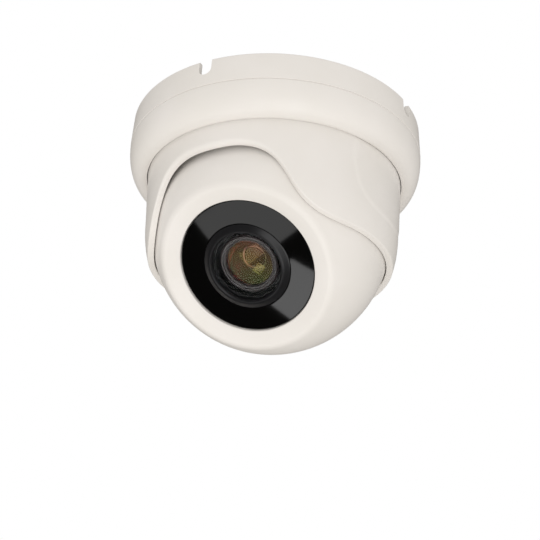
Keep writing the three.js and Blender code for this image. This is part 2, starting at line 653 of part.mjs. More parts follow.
// A lens ring round the barrel, with a radial hole for its thumb screw.
function lensRing(low, leverAngle) {
  const inner = BARREL_RADIUS + GAP;
  const blank = tube(inner, inner + RING_WALL, low, low + LENS_RING_LENGTH, MEDIUM);
  const hole = alongX(rod(LEVER_RADIUS + GAP, 0, 2 * inner, TINY), 1);
  return cut(blank, [hole.rotateZ(radians(leverAngle)).translate(0, 0, low + LENS_RING_LENGTH / 2)]);
}

// A thumb screw that locks its ring, made along +X.
function ringLever() {
  const start = BARREL_RADIUS + 2 * GAP;
  const outline = [[0, start], [LEVER_RADIUS, start], [LEVER_RADIUS, start + 4.5], [LEVER_HEAD, start + 4.5],
    [LEVER_HEAD, start + 8.5], [0, start + 8.5]];
  return alongX(turned(outline, TINY), 1);
}

function zoomCell() {
  const low = ZOOM_CELL_LOW;
  return tube(7, BARREL_RADIUS - BARREL_WALL - GAP, low, low + 4.5, COARSE);
}

function zoomLens() {
  const low = ZOOM_CELL_LOW;
  const radius = 7 - GAP;
  return turned([[0, low + 0.4], [radius, low + 1.2], [radius, low + 3.2], [0, low + 4.2]], COARSE);
}

function frontCell() {
  const stem = BARREL_RADIUS - BARREL_WALL - GAP;
  const head = BARREL_TOP + FOCUS_TRAVEL + GAP;
  const seat = FRONT_GLASS_RADIUS + GAP;
  const outline = [
    [stem - 1.2, ZOOM_CELL_LOW + 5.5 + FOCUS_TRAVEL],
    [stem, ZOOM_CELL_LOW + 5.5 + FOCUS_TRAVEL],
    [stem, head],
    [FRONT_CELL_RADIUS, head],
    [FRONT_CELL_RADIUS, FRONT_CELL_TOP - 0.5],
    [FRONT_CELL_RADIUS - 0.8, FRONT_CELL_TOP],
    [seat + 1.6, FRONT_CELL_TOP],
    [seat, FRONT_CELL_TOP - 0.8],
    [seat, head + 0.5],
    [stem - 1.2, head + 0.5],
  ];
  return turned(outline, MEDIUM);
}

function frontLens() {
  const low = BARREL_TOP + FOCUS_TRAVEL + 2 * GAP + 0.6;
  const crown = FRONT_GLASS_HEIGHT + 0.5;
  const outline = [
    [0, low],
    [FRONT_GLASS_RADIUS, low],
    [FRONT_GLASS_RADIUS, FRONT_GLASS_HEIGHT - 0.8],
    [FRONT_GLASS_RADIUS * 0.75, FRONT_GLASS_HEIGHT - 0.1],
    [FRONT_GLASS_RADIUS * 0.4, crown - 0.15],
    [0, crown],
  ];
  return turned(outline, MEDIUM);
}

// ---------------------------------------------------------------- materials

function finish(color, roughness, metalness = 0) {
  return new THREE.MeshStandardMaterial({ color, roughness, metalness });
}

const whiteHousing = () => finish('#e6e2dc', 0.4);
const blackGloss = () => finish('#0b0b0c', 0.08);
const blackPlastic = () => finish('#161617', 0.5);
const blackRubber = () => finish('#1a1a1b', 0.85);
const zincSteel = () => finish('#b9bbbd', 0.35, 1);
const stainless = () => finish('#c6c7c9', 0.25, 1);
const brass = () => finish('#c2a25a', 0.3, 1);
const acetal = () => finish('#e9e8e2', 0.45);
const blackAluminium = () => finish('#18181a', 0.35, 1);
const clearGlass = () => finish('#eef3f2', 0.02);
const coatedGlass = () => finish('#4a2a38', 0.03);
const circuitBoard = () => finish('#1e5a38', 0.45);
const chipResin = () => finish('#202124', 0.6);
const nylon = () => finish('#dcd8cc', 0.5);

// ---------------------------------------------------------------- assembly

function piece(parent, name, geometry, material) {
  const mesh = new THREE.Mesh(geometry, material);
  mesh.name = name;
  parent.add(mesh);
  return mesh;
}

// The same piece several times round the Z axis, numbered from 1.
function pieces(parent, name, makeGeometry, material, count, radius, startDegrees) {
  around(count, radius, startDegrees, (x, y) => [x, y]).forEach(([x, y], i) => {
    piece(parent, `${name}_${i + 1}`, makeGeometry(), material()).position.set(x, y, 0);
  });
}

function lever(parent, name, ringLow, angle) {
  const mesh = piece(parent, name, ringLever(), stainless());
  mesh.position.z = ringLow + LENS_RING_LENGTH / 2;
  mesh.rotation.z = radians(angle);
}

function base() {
  const group = new THREE.Group();
  piece(group, 'base_cover', baseCover(), whiteHousing());
  piece(group, 'mount_plate', mountPlate(), zincSteel());
  piece(group, 'plate_gasket', plateGasket(), blackRubber());
  pieces(group, 'cover_screw', coverScrew, stainless, COVER_SCREW_COUNT, BOSS_CIRCLE, COVER_SCREW_START);
  piece(group, 'glide_ring', glideRing(), acetal());
  group.rotation.z = radians(BASE_TURN);
  return group;
}

function collar() {
  const group = new THREE.Group();
  piece(group, 'collar_shell', collarShell(), whiteHousing());
  piece(group, 'retaining_ring', retainingRing(), zincSteel());
  const screwTop = RING_LOW + RING_THICKNESS + GAP / 3;
  const panScrew = () => screw(PAN_SCREW_LENGTH + RING_THICKNESS - 2, 2.4).translate(0, 0, screwTop);
  pieces(group, 'retaining_screw', panScrew, stainless, PAN_SCREW_COUNT, PAN_SCREW_CIRCLE, 0);
  piece(group, 'swivel_seal', swivelSeal(), blackRubber());
  piece(group, 'pivot_screw_left', pivotScrew(-1), stainless()).position.z = -BALL_DEPTH;
  piece(group, 'pivot_screw_right', pivotScrew(1), stainless()).position.z = -BALL_DEPTH;
  return group;
}

function ball() {
  const group = new THREE.Group();
  piece(group, 'ball_front_shell', ballFrontShell(), whiteHousing());
  piece(group, 'ball_rear_shell', ballRearShell(), whiteHousing());
  piece(group, 'ball_seal', ballSeal(), blackRubber());
  pieces(group, 'shell_screw', shellScrew, stainless, 3, SHELL_SCREW_CIRCLE, 60);
  piece(group, 'pivot_bush_left', pivotBush(-1), nylon());
  piece(group, 'pivot_bush_right', pivotBush(1), nylon());
  piece(group, 'front_trim', frontTrim(), blackGloss());
  piece(group, 'trim_gasket', trimGasket(), blackRubber());
  piece(group, 'front_glass', frontGlass(), clearGlass());
  piece(group, 'glass_seal', glassSeal(), blackRubber());
  piece(group, 'cable_grommet', cableGrommet(), blackRubber());
  return group;
}

function lensBracket() {
  const group = new THREE.Group();
  piece(group, 'bracket', bracket(), zincSteel());
  pieces(group, 'bracket_screw', bracketScrew, stainless, 3, BRACKET_SCREW_CIRCLE, 0);
  group.position.z = LENS_SHIFT;
  return group;
}

function lensModule() {
  const group = new THREE.Group();
  piece(group, 'lens_carrier', lensCarrier(), blackPlastic());
  piece(group, 'carrier_clip', carrierClip(), blackPlastic());
  piece(group, 'sensor_board', board(SENSOR_BOARD_HEIGHT), circuitBoard());
  piece(group, 'main_board', board(SENSOR_BOARD_HEIGHT - BOARD_PITCH), circuitBoard());
  const corner = (BOARD_SIZE / 2 - SPACER_INSET) * Math.SQRT2;
  pieces(group, 'board_spacer', boardSpacer, brass, 4, corner, 45);
  piece(group, 'image_sensor', imageSensor(), chipResin());
  piece(group, 'processor', processor(), chipResin());
  piece(group, 'board_connector', boardConnector(), nylon());
  piece(group, 'lens_mount', lensMount(), blackPlastic());
  piece(group, 'filter_coil', filterCoil(), blackPlastic());
  piece(group, 'lens_barrel', lensBarrel(), blackAluminium());
  piece(group, 'iris_plate', irisPlate(), blackPlastic());
  piece(group, 'rear_lens', rearLens(), coatedGlass());
  piece(group, 'filter_frame', filterFrame(), blackPlastic());
  piece(group, 'ir_cut_filter', filterGlass(0), coatedGlass());
  piece(group, 'clear_filter', filterGlass(FILTER_TRAVEL), clearGlass());
  piece(group, 'zoom_ring', lensRing(ZOOM_RING_LOW, ZOOM_LEVER_ANGLE), blackPlastic());
  piece(group, 'focus_ring', lensRing(FOCUS_RING_LOW, FOCUS_LEVER_ANGLE), blackPlastic());
  lever(group, 'zoom_lever', ZOOM_RING_LOW, ZOOM_LEVER_ANGLE);
  lever(group, 'focus_lever', FOCUS_RING_LOW, FOCUS_LEVER_ANGLE);
  piece(group, 'zoom_cell', zoomCell(), blackPlastic());
  piece(group, 'zoom_lens', zoomLens(), coatedGlass());
  piece(group, 'front_cell', frontCell(), blackAluminium());
  piece(group, 'front_lens', frontLens(), coatedGlass());
  group.position.z = LENS_SHIFT;
  return group;
}

const camera = new THREE.Group();
const head = new THREE.Group();
head.add(ball(), lensBracket(), lensModule());
head.position.z = -BALL_DEPTH;
head.rotation.x = Math.PI - radians(REST_TILT);
camera.add(base(), collar(), head);

export default camera;
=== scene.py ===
"""The looks of a turret dome camera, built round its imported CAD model.

Metres, +Z up. The origin is the centre of the mounting face and the camera hangs below it.
Sizes are written in millimetres, as in the part's own source, and multiplied by MM.
"""

import math
from contextlib import contextmanager

import bpy
from mathutils import Matrix, Vector


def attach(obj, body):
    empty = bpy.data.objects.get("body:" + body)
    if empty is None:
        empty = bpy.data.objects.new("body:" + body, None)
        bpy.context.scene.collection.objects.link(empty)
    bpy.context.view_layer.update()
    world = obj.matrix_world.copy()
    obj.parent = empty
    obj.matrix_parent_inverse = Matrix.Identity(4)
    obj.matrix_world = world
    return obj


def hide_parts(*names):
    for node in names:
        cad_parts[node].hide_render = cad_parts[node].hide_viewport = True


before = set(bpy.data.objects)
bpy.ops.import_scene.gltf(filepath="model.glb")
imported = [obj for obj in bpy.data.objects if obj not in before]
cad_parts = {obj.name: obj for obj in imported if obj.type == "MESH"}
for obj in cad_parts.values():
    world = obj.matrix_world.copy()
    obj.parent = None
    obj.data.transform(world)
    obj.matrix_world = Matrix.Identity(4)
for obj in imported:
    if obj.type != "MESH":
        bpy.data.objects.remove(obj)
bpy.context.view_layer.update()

MM = 0.001
GAP = 0.3  # clearance between pieces that touch or turn on each other

# ---------------------------------------------------------------- sizes, in millimetres

# base
BASE_RADIUS = 65.0
BASE_BULGE = 0.8
BASE_WALL = 2.4
BASE_DEPTH = 28.4
CREASE_DEPTH = 13.4
CREASE_WIDTH = 0.5
SHOULDER_POWER = 2.5
OPENING_RADIUS = 57.3
LIP_WIDTH = 3.0
LIP_TOP = BASE_WALL - BASE_DEPTH
BASE_TURN = -3.0  # degrees
NOTCH_WIDTH = 6.1
NOTCH_DEPTH = 7.4
PLATE_NOTCH_WIDTH = 15.0
PLATE_NOTCH_REACH = 12.6
NOTCH_COUNT = 4
PLATE_TOP = -0.8
PLATE_LOW = -2.3
PLATE_OPENING_RADIUS = 30.0
GASKET_INNER_RADIUS = 31.0
GASKET_WIDTH = 9.0
BOSS_RADIUS = 5.2
BOSS_DEPTH = 15.0
# three screws on a circle, as (radius, degrees of the first one from the front)
COVER_SCREWS = (58.6, 45.0)
FIXINGS = (50.65, 15.0)
FIXING_HOLE_RADIUS = 2.5
SCREW_HOLE_RADIUS = 1.8
SCREW_HEAD_RADIUS = 2.9

# collar
COLLAR_TOP_RADIUS = 56.6
COLLAR_RADIUS = 56.1
SOCKET_RADIUS = 53.3
COLLAR_TOP = -24.9
COLLAR_HIGH_EDGE = -38.2
COLLAR_LOW_EDGE = -69.0
EDGE_CURVE = ((6, 0), (46, 0), (25, 1), (66, 1))  # (degrees from the front, share of the drop)
LIP_ROUND_HIGH = 2.2
LIP_ROUND_LOW = 0.55
COLLAR_TURN = -3.5  # degrees from the tilt plane to the middle of the collar's opening
SEAM_GAP = 0.35
PAD_HALF_ANGLE = 28.0  # degrees either side of the pivot
PAD_DEPTH = 29.9  # below the seam
PAD_POWER = 3.15
PAD_LIFT = 0.3
PAD_SLOPE = 2.0
PAN_SCREWS = (51.8, 0.0)
RING_LOW = -24.8
RING_THICKNESS = 2.0
RING_INNER_RADIUS = 48.6

# ball, about its own axis: heights are ahead of its centre
BALL_DEPTH = 53.3
BALL_RADIUS = 52.8
BALL_WALL = 2.2
INNER_RADIUS = BALL_RADIUS - BALL_WALL
REST_TILT = 40.3  # degrees of the lens from straight down
SEAM = -6.5
REAR_FLANGE = 2.5
FRONT_FLANGE = 4.0
FLANGE_RADIUS = 44.8
SHELL_SCREWS = (47.2, 60.0)
SEAL_INNER = 49.8
SEAL_OUTER = 51.3
SEAL_DEPTH = 1.2
BUSH_BORE = 1.8
BUSH_RADIUS = 2.9
BUSH_FLANGE = 4.6
REAR_FLAT = 48.0
GROMMET_HOLE = 5.5
BEZEL_RADIUS = 36.2
BEZEL_HEIGHT = 36.5
BEZEL_ROUND = 4.2
WINDOW_RADIUS = 30.3
WINDOW_HEIGHT = 35.0
SEAT_TOP = 31.5
SEAT_RADIUS = 27.3
TRIM_EDGE_TOP = 34.0
TRIM_LOW = 32.5
TRIM_RING_RADIUS = 19.2
TRIM_RING_FOOT = 34.6
TRIM_RING_TOP = 36.4
TRIM_RING_BORE = 15.4
GLASS_RADIUS = 16.8
GLASS_TOP = 34.5
GLASS_LOW = 33.0
BRACKET_HEIGHT = 13.4
BRACKET_THICKNESS = 2.0
BRACKET_RADIUS = 36.0
BRACKET_SCREWS = (33.0, 0.0)

# lens
CARRIER_RADIUS = 20.5
BARREL_RADIUS = 12.4
BARREL_WALL = 1.6
BARREL_LOW = 9.0
BARREL_TOP = 26.6
LENS_RING_WALL = 2.1
LENS_RING_LENGTH = 3.8
ZOOM_RING_LOW = 17.6
FOCUS_RING_LOW = 22.3
ZOOM_LEVER_ANGLE = 90.0
FOCUS_LEVER_ANGLE = 60.0
ZOOM_CELL_LOW = 13.4
ZOOM_CELL_BORE = 7.0
FRONT_CELL_RADIUS = 13.2
FRONT_CELL_TOP = 32.2
FRONT_CELL_HEAD = 29.4
FRONT_GLASS_RADIUS = 10.3
FRONT_GLASS_CROWN = 31.9

# facets round a full turn
VERY_FINE = 192
FINE = 128
MEDIUM = 72
COARSE = 36

BASE_FRAME = Matrix.Rotation(math.radians(BASE_TURN), 4, "Z")
HEAD_FRAME = Matrix.Translation((0, 0, -BALL_DEPTH * MM)) @ Matrix.Rotation(
    math.pi - math.radians(REST_TILT), 4, "X"
)
PIVOT_CENTRE = Vector((0, 0, -BALL_DEPTH * MM))
HALF_TURN = Matrix.Rotation(math.pi, 4, "X")
SIDES = ((-1, "left"), (1, "right"))


# ---------------------------------------------------------------- working in edit mode


def only(piece):
    """Deselects everything but one piece, and makes it active."""
    bpy.ops.object.select_all(action="DESELECT")
    piece.select_set(True)
    bpy.context.view_layer.objects.active = piece


@contextmanager
def editing(piece):
    """Edit mode on one piece, with all of it selected."""
    only(piece)
    bpy.ops.object.mode_set(mode="EDIT")
    bpy.ops.mesh.select_all(action="SELECT")
    yield
    bpy.ops.object.mode_set(mode="OBJECT")


def named(name):
    """The primitive just added, under a piece's name."""
    piece = bpy.context.object
    piece.name = name
    piece.data.name = name
    return piece


def smooth(piece, degrees=32):
    """Smooth shading, with the edges that turn by more than an angle left sharp."""
    only(piece)
    bpy.ops.object.shade_smooth_by_angle(angle=math.radians(degrees))


def put(piece, matrix):
    """Moves a piece and applies its place to its mesh."""
    piece.matrix_world = matrix @ piece.matrix_world
    only(piece)
    bpy.ops.object.transform_apply(location=True, rotation=True, scale=True)
    return piece


def softened(corners, steps=5):
    """An outline whose corners given as (radius, height, size) are rounded over that size."""
    outline = []
    for i, corner in enumerate(corners):
        here = Vector(corner[:2])
        if len(corner) == 2:
            outline.append(tuple(here))
            continue
        before = Vector(corners[i - 1][:2]) - here
        after = Vector(corners[(i + 1) % len(corners)][:2]) - here
        start = here + before.normalized() * min(corner[2], before.length * 0.49)
        end = here + after.normalized() * min(corner[2], after.length * 0.49)
        for step in range(steps + 1):
            t = step / steps
            outline.append(tuple((1 - t) ** 2 * start + 2 * t * (1 - t) * here + t**2 * end))
    return outline


def turned(name, corners, steps=FINE, smooth_to=32):
    """A closed outline of (radius, height) corners, spun about Z."""
    outline = softened(corners)
    bpy.ops.object.select_all(action="DESELECT")
    bpy.ops.mesh.primitive_circle_add(vertices=len(outline), radius=1)
    piece = named(name)
    for vertex, (radius, height) in zip(piece.data.vertices, outline):
        vertex.co = (radius * MM, 0, height * MM)
    with editing(piece):
        bpy.ops.mesh.spin(steps=steps, angle=2 * math.pi, center=(0, 0, 0), axis=(0, 0, 1))
        bpy.ops.mesh.select_all(action="SELECT")
        bpy.ops.mesh.remove_doubles(threshold=0.001 * MM)
        bpy.ops.mesh.delete_loose()
        bpy.ops.mesh.select_all(action="SELECT")
        bpy.ops.mesh.normals_make_consistent(inside=False)
    smooth(piece, smooth_to)
    return piece


def rod(name, radius, low, high, x=0, y=0, vertices=COARSE):
    """A plain cylinder along Z, for cutting and joining."""
    bpy.ops.object.select_all(action="DESELECT")
    centre = (x * MM, y * MM, (low + high) / 2 * MM)
    bpy.ops.mesh.primitive_cylinder_add(
        vertices=vertices, radius=radius * MM, depth=(high - low) * MM, location=centre
    )
    return put(named(name), Matrix.Identity(4))


def block(name, width, depth, height, x, y, z):
    """A plain box, for cutting and joining."""
    bpy.ops.object.select_all(action="DESELECT")
    bpy.ops.mesh.primitive_cube_add(size=MM)
    centre = Matrix.Translation(Vector((x, y, z)) * MM)
    return put(named(name), centre @ Matrix.Diagonal((width, depth, height, 1)))


def ring_corners(inner, outer, low, high, size=0.15):
    """A plain ring's outline with softened corners."""
    return [(inner, low, size), (outer, low, size), (outer, high, size), (inner, high, size)]


def around(count, radius, start=0.0):
    """Places on a circle, counted from -Y, as (x, y, angle)."""
    for i in range(count):
        angle = math.radians(start + 360 * i / count)
        yield radius * math.sin(angle), -radius * math.cos(angle), angle


def rods(name, radius, low, high, *circle):
    """Three plain cylinders on a circle."""
    return [rod(name, radius, low, high, x, y) for x, y, _ in around(3, *circle)]


def copied(piece, name, place):
    """A copy of a piece, with its own mesh, moved to its place."""
    copy = piece.copy()
    copy.data = piece.data.copy()
    copy.name = copy.data.name = name
    bpy.context.collection.objects.link(copy)
    return put(copy, place)


def merged(pieces):
    """Several pieces as one object."""
    only(pieces[0])
    for piece in pieces:
        piece.select_set(True)
    bpy.ops.object.join()
    return pieces[0]


def combine(piece, tools, operation="DIFFERENCE"):
    """Cuts the tools from a piece, or joins them to it, and removes them."""
    tool = merged(tools)
    modifier = piece.modifiers.new("shape", "BOOLEAN")
    modifier.operation = operation
    modifier.solver = "EXACT"
    modifier.object = tool
    only(piece)
    bpy.ops.object.modifier_apply(modifier=modifier.name)
    bpy.data.objects.remove(tool)
    return piece


def fit(piece, body, material, slot, *nodes):
    """Gives a piece its finish, its body and the CAD nodes that it stands for."""
    piece.data.materials.clear()
    piece.data.materials.append(material)
    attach(piece, body)
    if nodes:
        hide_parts(*nodes)
    return piece


# ---------------------------------------------------------------- materials


def linear(hex_colour):
    """An sRGB hex colour as linear red, green, blue and alpha."""
    channels = [int(hex_colour[i : i + 2], 16) / 255 for i in (1, 3, 5)]
    values = [c / 12.92 if c <= 0.04045 else ((c + 0.055) / 1.055) ** 2.4 for c in channels]
    return (*values, 1.0)


def add(owner, kind, inputs=None, links=None, **settings):
    """Adds a node with its settings, input values and links from other nodes' outputs."""
    made = owner.node_tree.nodes.new(kind)
    for name, value in settings.items():
        setattr(made, name, value)
    for name, value in (inputs or {}).items():
        made.inputs[name].default_value = value
    for name, output in (links or {}).items():
        owner.node_tree.links.new(output, made.inputs[name])
    return made


def finish(name, inputs, pattern=None, axes=None):
    """A material whose surface is one Principled shader.

    pattern(material, place) adds what varies it over a piece and returns the outputs that drive
    the shader's sockets. place is the Object coordinates, along a frame's axes where one is given.
    """
    material = bpy.data.materials.new(name)
    material.use_nodes = True
    material.node_tree.nodes.clear()
    driven = {}
    if pattern:
        place = add(material, "ShaderNodeTexCoord").outputs["Object"]
        if axes is not None:
            turn = axes.inverted()
            lay = {"Location": turn.translation, "Rotation": turn.to_euler()}
            mapping = add(material, "ShaderNodeMapping", lay, {"Vector": place})
            place = mapping.outputs["Vector"]
        driven = pattern(material, place)
    shader = add(material, "ShaderNodeBsdfPrincipled", inputs, driven)
    add(material, "ShaderNodeOutputMaterial", links={"Surface": shader.outputs["BSDF"]})
    return material


def grain(size, detail=2.0, roughness=0.5):
    """The inputs of a noise whose grains measure about size millimetres."""
    return {"Scale": 1 / (size * MM), "Detail": detail, "Roughness": roughness}


def varied(material, factor, colours=None, reach=(0.35, 0.65), gloss=None, relief=None):
    """What a factor from 0 to 1 drives: a run between two hex colours, made over its reach, one
    between two roughnesses, and a relief, given by its strength and its depth in millimetres."""
    driven = {}
    if colours:
        ramp = add(material, "ShaderNodeValToRGB", links={"Fac": factor})
        for element, position, colour in zip(ramp.color_ramp.elements, reach, colours):
            element.position = position
            element.color = linear(colour)
        driven["Base Color"] = ramp.outputs["Color"]
    if gloss:
        ends = {"To Min": gloss[0], "To Max": gloss[1]}
        run = add(material, "ShaderNodeMapRange", ends, {"Value": factor})
        driven["Roughness"] = run.outputs["Result"]
    if relief:
        depth = {"Strength": relief[0], "Distance": relief[1] * MM}
        bump = add(material, "ShaderNodeBump", depth, {"Height": factor})
        driven["Normal"] = bump.outputs["Normal"]
    return driven


def mottled(name, inputs, *layers):
    """A finish varied by layers of noise, each given as its grain and what it drives."""

    def pattern(material, place):
        driven = {}
        for inputs, drives in layers:
            noise = add(material, "ShaderNodeTexNoise", inputs, {"Vector": place})
            driven.update(varied(material, noise.outputs["Fac"], **drives))
        return driven

    return finish(name, inputs, pattern)


def black_acrylic():
    """Moulded black acrylic: the cone is polished in the tool and mirrors the studio, with a faint
    long-wave ripple from the moulding, and the ring round the lens is left satin."""

    def pattern(material, place):
        kind = "ShaderNodeVectorMath"
        flat = add(material, kind, {1: (1, 1, 0)}, {0: place}, operation="MULTIPLY")
        radius = add(material, kind, links={0: flat.outputs["Vector"]}, operation="LENGTH")
        edge = {1: (TRIM_RING_RADIUS + 0.1) * MM}
        reach = {0: radius.outputs["Value"]}
        cone = add(material, "ShaderNodeMath", edge, reach, operation="GREATER_THAN")
        ripple = add(material, "ShaderNodeTexNoise", grain(14.0, 1.0), {"Vector": place})
        return {
            **varied(
                material, cone.outputs["Value"], ("#1c1c1e", "#060606"), (0.4, 0.6), (0.3, 0.055)
            ),
            **varied(material, ripple.outputs["Fac"], relief=(0.04, 0.3)),
        }

    return finish("black acrylic", {"IOR": 1.49}, pattern, HEAD_FRAME)


def coated_glass(name, painted_warm_side, painted_cool_side, index):
    """Polished optical glass with a thin-film coating that leaves a magenta reflection. Its colour
    runs from a warm tint on one side to a cool one on the other. That run is a painted reflection
    standing in for the coating's wine red and green, which really change with the angle of view."""

    def pattern(material, place):
        # painted reflection: one run from the warm tint to the cool one in about 22 mm, slanting
        # across the lens
        slant = (0, 0, math.radians(35))
        lay = {"Location": (0.5, 0.5, 0.5), "Rotation": slant, "Scale": (45, 45, 45)}
        across = add(material, "ShaderNodeMapping", lay, {"Vector": place})
        split = add(material, "ShaderNodeSeparateXYZ", links={"Vector": across.outputs["Vector"]})
        haze = add(material, "ShaderNodeTexNoise", grain(3.0), {"Vector": place})
        return {
            **varied(material, split.outputs["X"], (painted_warm_side, painted_cool_side), (0.3, 0.8)),
            **varied(material, haze.outputs["Fac"], gloss=(0.0, 0.01)),
        }

    inputs = {
        "Transmission Weight": 1.0,
        "IOR": index,
        "Specular IOR Level": 0.15,
        "Thin Film Thickness": 430.0,
        "Thin Film IOR": 1.42,
    }
    return finish(name, inputs, pattern, HEAD_FRAME)


def anodised_black():
    """Aluminium turned on a lathe and anodised black: fine rings round the optical axis
    that draw the light into arcs."""

    def pattern(material, place):
        rings = add(
            material,
            "ShaderNodeTexWave",
            {"Scale": 2 * math.pi / 20 / (0.3 * MM), "Distortion": 0.0},
            {"Vector": place},
            wave_type="RINGS",
            rings_direction="Z",
        )
        return varied(material, rings.outputs["Fac"], gloss=(0.24, 0.36), relief=(0.1, 0.005))

    inputs = {"Base Color": linear("#2a2324"), "IOR": 1.6}
    return finish("black anodised aluminium", inputs, pattern, HEAD_FRAME)


def black_foam():
    """Closed-cell neoprene foam: a dull skin broken by small open cells."""

    def pattern(material, place):
        scale = {"Scale": 1 / (0.6 * MM)}
        cells = add(material, "ShaderNodeTexVoronoi", scale, {"Vector": place})
        colours = ("#19191b", "#2d2d30")
        return varied(material, cells.outputs["Distance"], colours, (0.1, 0.6), relief=(0.5, 0.15))

    return finish("closed-cell neoprene foam", {"Roughness": 0.95, "IOR": 1.45}, pattern)


def zinc_steel():
    """Pressed steel sheet, zinc plated and clear passivated: grey with soft crystalline spangle
    and a faint rolled grain."""

    def pattern(material, place):
        scale = {"Scale": 1 / (5.0 * MM)}
        spangle = add(material, "ShaderNodeTexVoronoi", scale, {"Vector": place})
        grey = add(material, "ShaderNodeRGBToBW", links={"Color": spangle.outputs["Color"]})
        stretch = {"Scale": (1.0, 14.0, 1.0)}
        long = add(material, "ShaderNodeMapping", stretch, {"Vector": place}).outputs["Vector"]
        rolled = add(material, "ShaderNodeTexNoise", grain(4.0, 4.0, 0.6), {"Vector": long})
        return {
            **varied(material, grey.outputs["Val"], ("#b4b7ba", "#c8cacc"), (0.1, 0.9)),
            **varied(material, rolled.outputs["Fac"], gloss=(0.28, 0.44), relief=(0.1, 0.02)),
        }

    return finish("zinc-plated steel sheet", {"Metallic": 1.0}, pattern)


def solder_mask():
    """Green solder mask over copper: lines of tracks show as a lighter relief."""

    def pattern(material, place):
        inputs = {
            "Color1": linear("#17492c"),
            "Color2": linear("#1a5231"),
            "Mortar": linear("#2c7a4a"),
            "Scale": 1 / (9.0 * MM),
            "Mortar Size": 0.03,
            "Bias": 0.0,
        }
        tracks = add(material, "ShaderNodeTexBrick", inputs, {"Vector": place})
        relief = varied(material, tracks.outputs["Fac"], relief=(0.4, 0.05))
        return {"Base Color": tracks.outputs["Color"], **relief}

    inputs = {"Roughness": 0.32, "IOR": 1.55, "Coat Weight": 0.4, "Coat Roughness": 0.15}
    return finish("green solder mask", inputs, pattern, HEAD_FRAME)


# Injection-moulded ABS in a warm white, from a mould with a fine spark-eroded satin texture. The
# texture spreads highlights softly; the colour drifts very slightly, as pigment does.
WHITE_ABS = mottled(
    "moulded white ABS",
    {"IOR": 1.53, "Subsurface Weight": 0.0, "Specular IOR Level": 0.45},
    (grain(30.0), {"colours": ("#e8e4df", "#ebe7e3")}),
    (grain(0.35, 3.0, 0.6), {"gloss": (0.36, 0.46), "relief": (0.12, 0.02)}),
)
BLACK_ACRYLIC = black_acrylic()
# Toughened window glass with an anti-reflection coating, which leaves only a faint reflection: the
# low index stands for the coating.
WINDOW_GLASS = mottled(
    "toughened window glass",
    {"Base Color": linear("#fafcfc"), "Transmission Weight": 1.0, "IOR": 1.15},
    (grain(5.0), {"gloss": (0.0, 0.012)}),
)
# Both lens glasses carry a painted reflection: a tint that runs from warm to cool across them and
# stands in for the coating's colours.
FRONT_COATING = coated_glass("coated front lens glass", "#b8707a", "#7c9474", 1.6)
INNER_COATING = coated_glass("coated inner lens glass", "#e8b8a8", "#d8e0c8", 1.7)
ANODISED = anodised_black()
# Matt paint inside the lens, a brownish black that keeps stray light down.
BAFFLE_PAINT = mottled(
    "matt lens paint",
    {"Base Color": linear("#2b2022"), "IOR": 1.5},
    (grain(0.4, 3.0), {"gloss": (0.7, 0.85)}),
)
# Glass-filled nylon, moulded black: matt, with the fibres showing as a fine mottle.
BLACK_NYLON = mottled(
    "glass-filled black nylon",
    {"IOR": 1.53},
    (
        grain(0.3, 4.0, 0.65),
        {"colours": ("#141416", "#1d1d1f"), "gloss": (0.42, 0.6), "relief": (0.2, 0.02)},
    ),
)
# Moulded EPDM rubber: nearly black, dull, with a slight bloom.
BLACK_RUBBER = mottled(
    "moulded EPDM rubber",
    {"IOR": 1.52, "Specular IOR Level": 0.3},
    (grain(2.5, 3.0), {"colours": ("#151516", "#232324"), "gloss": (0.75, 0.92)}),
    (grain(0.25), {"relief": (0.25, 0.02)}),
)
BLACK_FOAM = black_foam()
ZINC_STEEL = zinc_steel()
# Stainless screws, cold headed and tumbled bright, with fine scratches.
STAINLESS = mottled(
    "tumbled stainless steel",
    {"Base Color": linear("#c6c5c1"), "Metallic": 1.0},
    (grain(0.5, 5.0, 0.7), {"gloss": (0.18, 0.34), "relief": (0.08, 0.01)}),
)
# Free-machining brass, turned, with slight tarnish.
BRASS = mottled(
    "turned brass",
    {"Metallic": 1.0},
    (grain(3.0, 3.0), {"colours": ("#a8873f", "#c9a85b"), "gloss": (0.22, 0.38)}),
)
# Natural, unpigmented engineering plastics: creamy and slightly translucent.
NATURAL = {"IOR": 1.5, "Subsurface Weight": 0.15, "Subsurface Radius": (0.002, 0.0015, 0.001)}
ACETAL = mottled(
    "natural acetal",
    NATURAL,
    (grain(4.0), {"colours": ("#e2e0d8", "#ecebe4"), "gloss": (0.3, 0.42)}),
)
NATURAL_NYLON = mottled(
    "natural nylon",
    NATURAL,
    (grain(4.0), {"colours": ("#d8d2c2", "#e4dfd2"), "gloss": (0.38, 0.5)}),
)
SOLDER_MASK = solder_mask()
# Moulded chip epoxy: dark grey with a fine sparkle of silica filler.
CHIP_EPOXY = mottled(
    "moulded chip epoxy",
    {"IOR": 1.55},
    (grain(0.2, 3.0), {"colours": ("#1b1b1d", "#29292b"), "gloss": (0.5, 0.7)}),
)


# ---------------------------------------------------------------- base


def shoulder(crease_radius, lip_radius, lip_height, steps):
    """A quarter of a superellipse from the lip up to the crease."""
    for i in range(steps + 1):
        t = math.pi / 2 * (1 - i / steps)
        reach = max(math.cos(t), 0) ** (2 / SHOULDER_POWER)
        drop = math.sin(t) ** (2 / SHOULDER_POWER)
        radius = lip_radius + (crease_radius - lip_radius) * reach
        yield radius, -CREASE_DEPTH + (lip_height + CREASE_DEPTH) * drop


